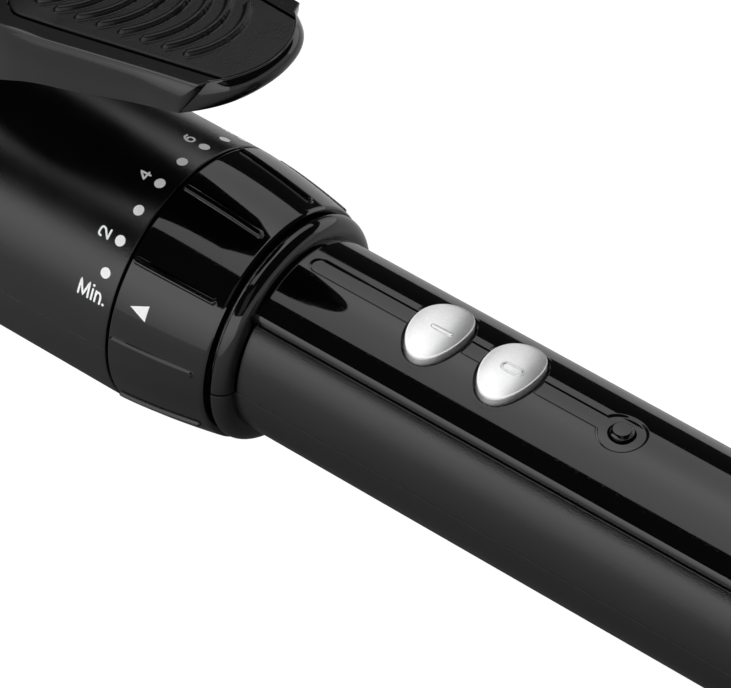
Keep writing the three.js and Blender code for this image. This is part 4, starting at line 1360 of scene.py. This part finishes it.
def panel(name, corners, axis, table, lengthwise):
    """A softbox whose radiance follows one table along an axis, times another along X."""
    material, tree, place, output = stage_material(name)
    glow = tree.nodes.new("ShaderNodeEmission")
    level = tree.nodes.new("ShaderNodeMath")
    level.operation = "MULTIPLY"
    tree.links.new(ramp_of(tree, place.outputs[axis], table), level.inputs[0])
    tree.links.new(ramp_of(tree, place.outputs["X"], lengthwise), level.inputs[1])
    tree.links.new(level.outputs[0], glow.inputs["Strength"])
    tree.links.new(glow.outputs[0], output.inputs["Surface"])
    item = plane(name, corners, material)
    item.visible_camera = False
    item.visible_shadow = False


def floor():
    """A plain pale floor: evenly white for the camera; for the rest its colour carries a painted shadow,
    darkest under the object.
    """
    half_size, drop = 4, 0.0003
    material, tree, place, output = stage_material("floor")
    matt = tree.nodes.new("ShaderNodeBsdfDiffuse")
    # Painted shadow: for reflections and bounce light, the floor's colour darkens towards the strip under
    # the object, along Y.
    painted_shadow_levels = [(-0.35, 0.92), (-0.1, 0.8), (-0.05, 0.62), (-0.015, 0.25), (0.03, 0.35), (0.08, 0.85),
              (0.35, 0.9)]
    tree.links.new(ramp_of(tree, place.outputs["Y"], painted_shadow_levels), matt.inputs["Color"])
    shown = tree.nodes.new("ShaderNodeBsdfDiffuse")
    shown.inputs["Color"].default_value = (0.16, 0.16, 0.16, 1)
    glow = tree.nodes.new("ShaderNodeEmission")
    glow.inputs["Strength"].default_value = 0.96
    both = tree.nodes.new("ShaderNodeAddShader")
    tree.links.new(shown.outputs[0], both.inputs[0])
    tree.links.new(glow.outputs[0], both.inputs[1])
    pick = tree.nodes.new("ShaderNodeMixShader")
    tree.links.new(tree.nodes.new("ShaderNodeLightPath").outputs["Is Camera Ray"], pick.inputs["Fac"])
    tree.links.new(matt.outputs[0], pick.inputs[1])
    tree.links.new(both.outputs[0], pick.inputs[2])
    tree.links.new(pick.outputs[0], output.inputs["Surface"])
    mesh = bpy.data.meshes.new("floor")
    corners = [(half_size * x, half_size * y, -drop) for x, y in ((-1, -1), (1, -1), (1, 1), (-1, 1))]
    mesh.from_pydata(corners, [], [(0, 1, 2, 3)])
    mesh.materials.append(material)
    add_object("floor", mesh)


def backdrop():
    """White for the camera, and nearly dark for everything else."""
    world = bpy.data.worlds.new("studio")
    bpy.context.scene.world = world
    world.use_nodes = True
    tree = world.node_tree
    path = tree.nodes.new("ShaderNodeLightPath")
    level = tree.nodes.new("ShaderNodeMapRange")
    level.inputs["To Min"].default_value = 0.03
    level.inputs["To Max"].default_value = 1.0
    tree.links.new(path.outputs["Is Camera Ray"], level.inputs["Value"])
    tree.nodes["Background"].inputs["Color"].default_value = (1, 1, 1, 1)
    tree.links.new(level.outputs["Result"], tree.nodes["Background"].inputs["Strength"])


def lights():
    """Softboxes overhead, on the near side, past the cord's end and on the far side, and a weak
    lamp. Places and sizes are in metres."""
    left, above, near, end, far = -1.8, 0.9, -0.9, 1.3, 1.7
    low, high = -0.25, 0.654
    panel("overhead", [(left, -0.38, above), (0.16, -0.38, above), (0.16, 1.6, above), (left, 1.6, above)],
          "Y", [(-0.38, 1.55), (-0.26, 1.6), (0, 1.75), (0.26, 2.09), (0.4, 2.04), (0.56, 1.7),
                (0.75, 1.46), (1.0, 1.3), (1.6, 1.15)],
          [(left, 0.12), (-0.835, 0.18), (-0.79, 1), (0.16, 1)])
    panel("near_card", [(left, near, low), (1.4, near, low), (1.4, near, high), (left, near, high)],
          "Z", [(low, 1.0), (-0.03, 1.25), (0, 1.32), (0.095, 1.62), (0.19, 1.85), (0.29, 2.1),
                (0.4, 2.27), (high, 2.3)],
          [(left, 1), (1.4, 1)])
    panel("end_card", [(end, near, low), (end, far, low), (end, far, high), (end, near, high)],
          "Z", [(low, 0.9), (0, 0.9), (high, 0.75)], [(end - 0.1, 1), (end + 0.1, 1)])
    panel("far_card", [(-0.4, far, low), (end, far, low), (end, far, high), (-0.4, far, high)],
          "Z", [(low, 1.2), (high, 1.5)], [(-0.4, 0.4), (0.2, 1), (end, 1)])
    fill = bpy.data.lights.new("fill", "AREA")
    fill.size = 0.5
    fill.energy = 0.3 * math.pi * fill.size ** 2
    item = add_object("fill", fill)
    place = Vector((0.5, -0.62, 0.76))
    item.matrix_world = TURN.to_4x4() @ place.to_track_quat("Z", "Y").to_matrix().to_4x4()
    item.matrix_world.translation = ORIGIN + TURN @ place
    item.visible_camera = False


# Angles are in degrees, the rest in millimetres.
CAMERA_AZIMUTH = 35.614
CAMERA_ELEVATION = 44.311
CAMERA_ROLL = 2.575
CAMERA_DISTANCE = 701.65
CAMERA_SHIFT = (28.7746, -12.1391)
CAMERA_LENS = 221.6
CAMERA_SENSOR = 36


def camera():
    azimuth, elevation, roll = map(math.radians, (CAMERA_AZIMUTH, CAMERA_ELEVATION, CAMERA_ROLL))
    back = Vector((math.sin(azimuth) * math.cos(elevation), -math.cos(azimuth) * math.cos(elevation),
                   math.sin(elevation)))
    level = Vector((math.cos(azimuth), math.sin(azimuth), 0))
    upward = back.cross(level)
    right = math.cos(roll) * level + math.sin(roll) * upward
    up = -math.sin(roll) * level + math.cos(roll) * upward
    place = back * CAMERA_DISTANCE + right * CAMERA_SHIFT[0] + up * CAMERA_SHIFT[1]
    data = bpy.data.cameras.new("camera")
    data.lens = CAMERA_LENS
    data.sensor_width = CAMERA_SENSOR
    data.clip_start = 0.01
    data.clip_end = 50
    item = add_object("camera", data)
    item.matrix_world = (TURN @ Matrix((right, up, back)).transposed()).to_4x4()
    item.matrix_world.translation = TO_ROW @ place
    bpy.context.scene.camera = item
    bpy.context.scene.view_settings.view_transform = "Standard"


# ---------------------------------------------------------------- assembly
finish_cad_nodes()
barrel()
cool_tip()
insulator()
neck()
scale()
dial()
pointer()
handle_lower()
handle_upper()
cover()
MARK_ON = (0.4, 1.55, [(0.02, 0.15), (0.22, 0.15), (0.33, 0.12), (0.4, 0.06), (0.44, 0)])
MARK_OFF = (0.1, 1.0, [(0.56, 0), (0.6, 0.06), (0.68, 0.12), (0.78, 0.14), (0.88, 0.12), (0.96, 0.06),
                       (1, 0)])
button("button_on", "on_button", BUTTON_ON_X, MARK_ON)
button("button_off", "off_button", BUTTON_OFF_X, MARK_OFF)
lamp()
gland()
lever()
grip()
jaw()
rivets()
hinge()
spring()
stand()
screws()
floor()
backdrop()
lights()
camera()
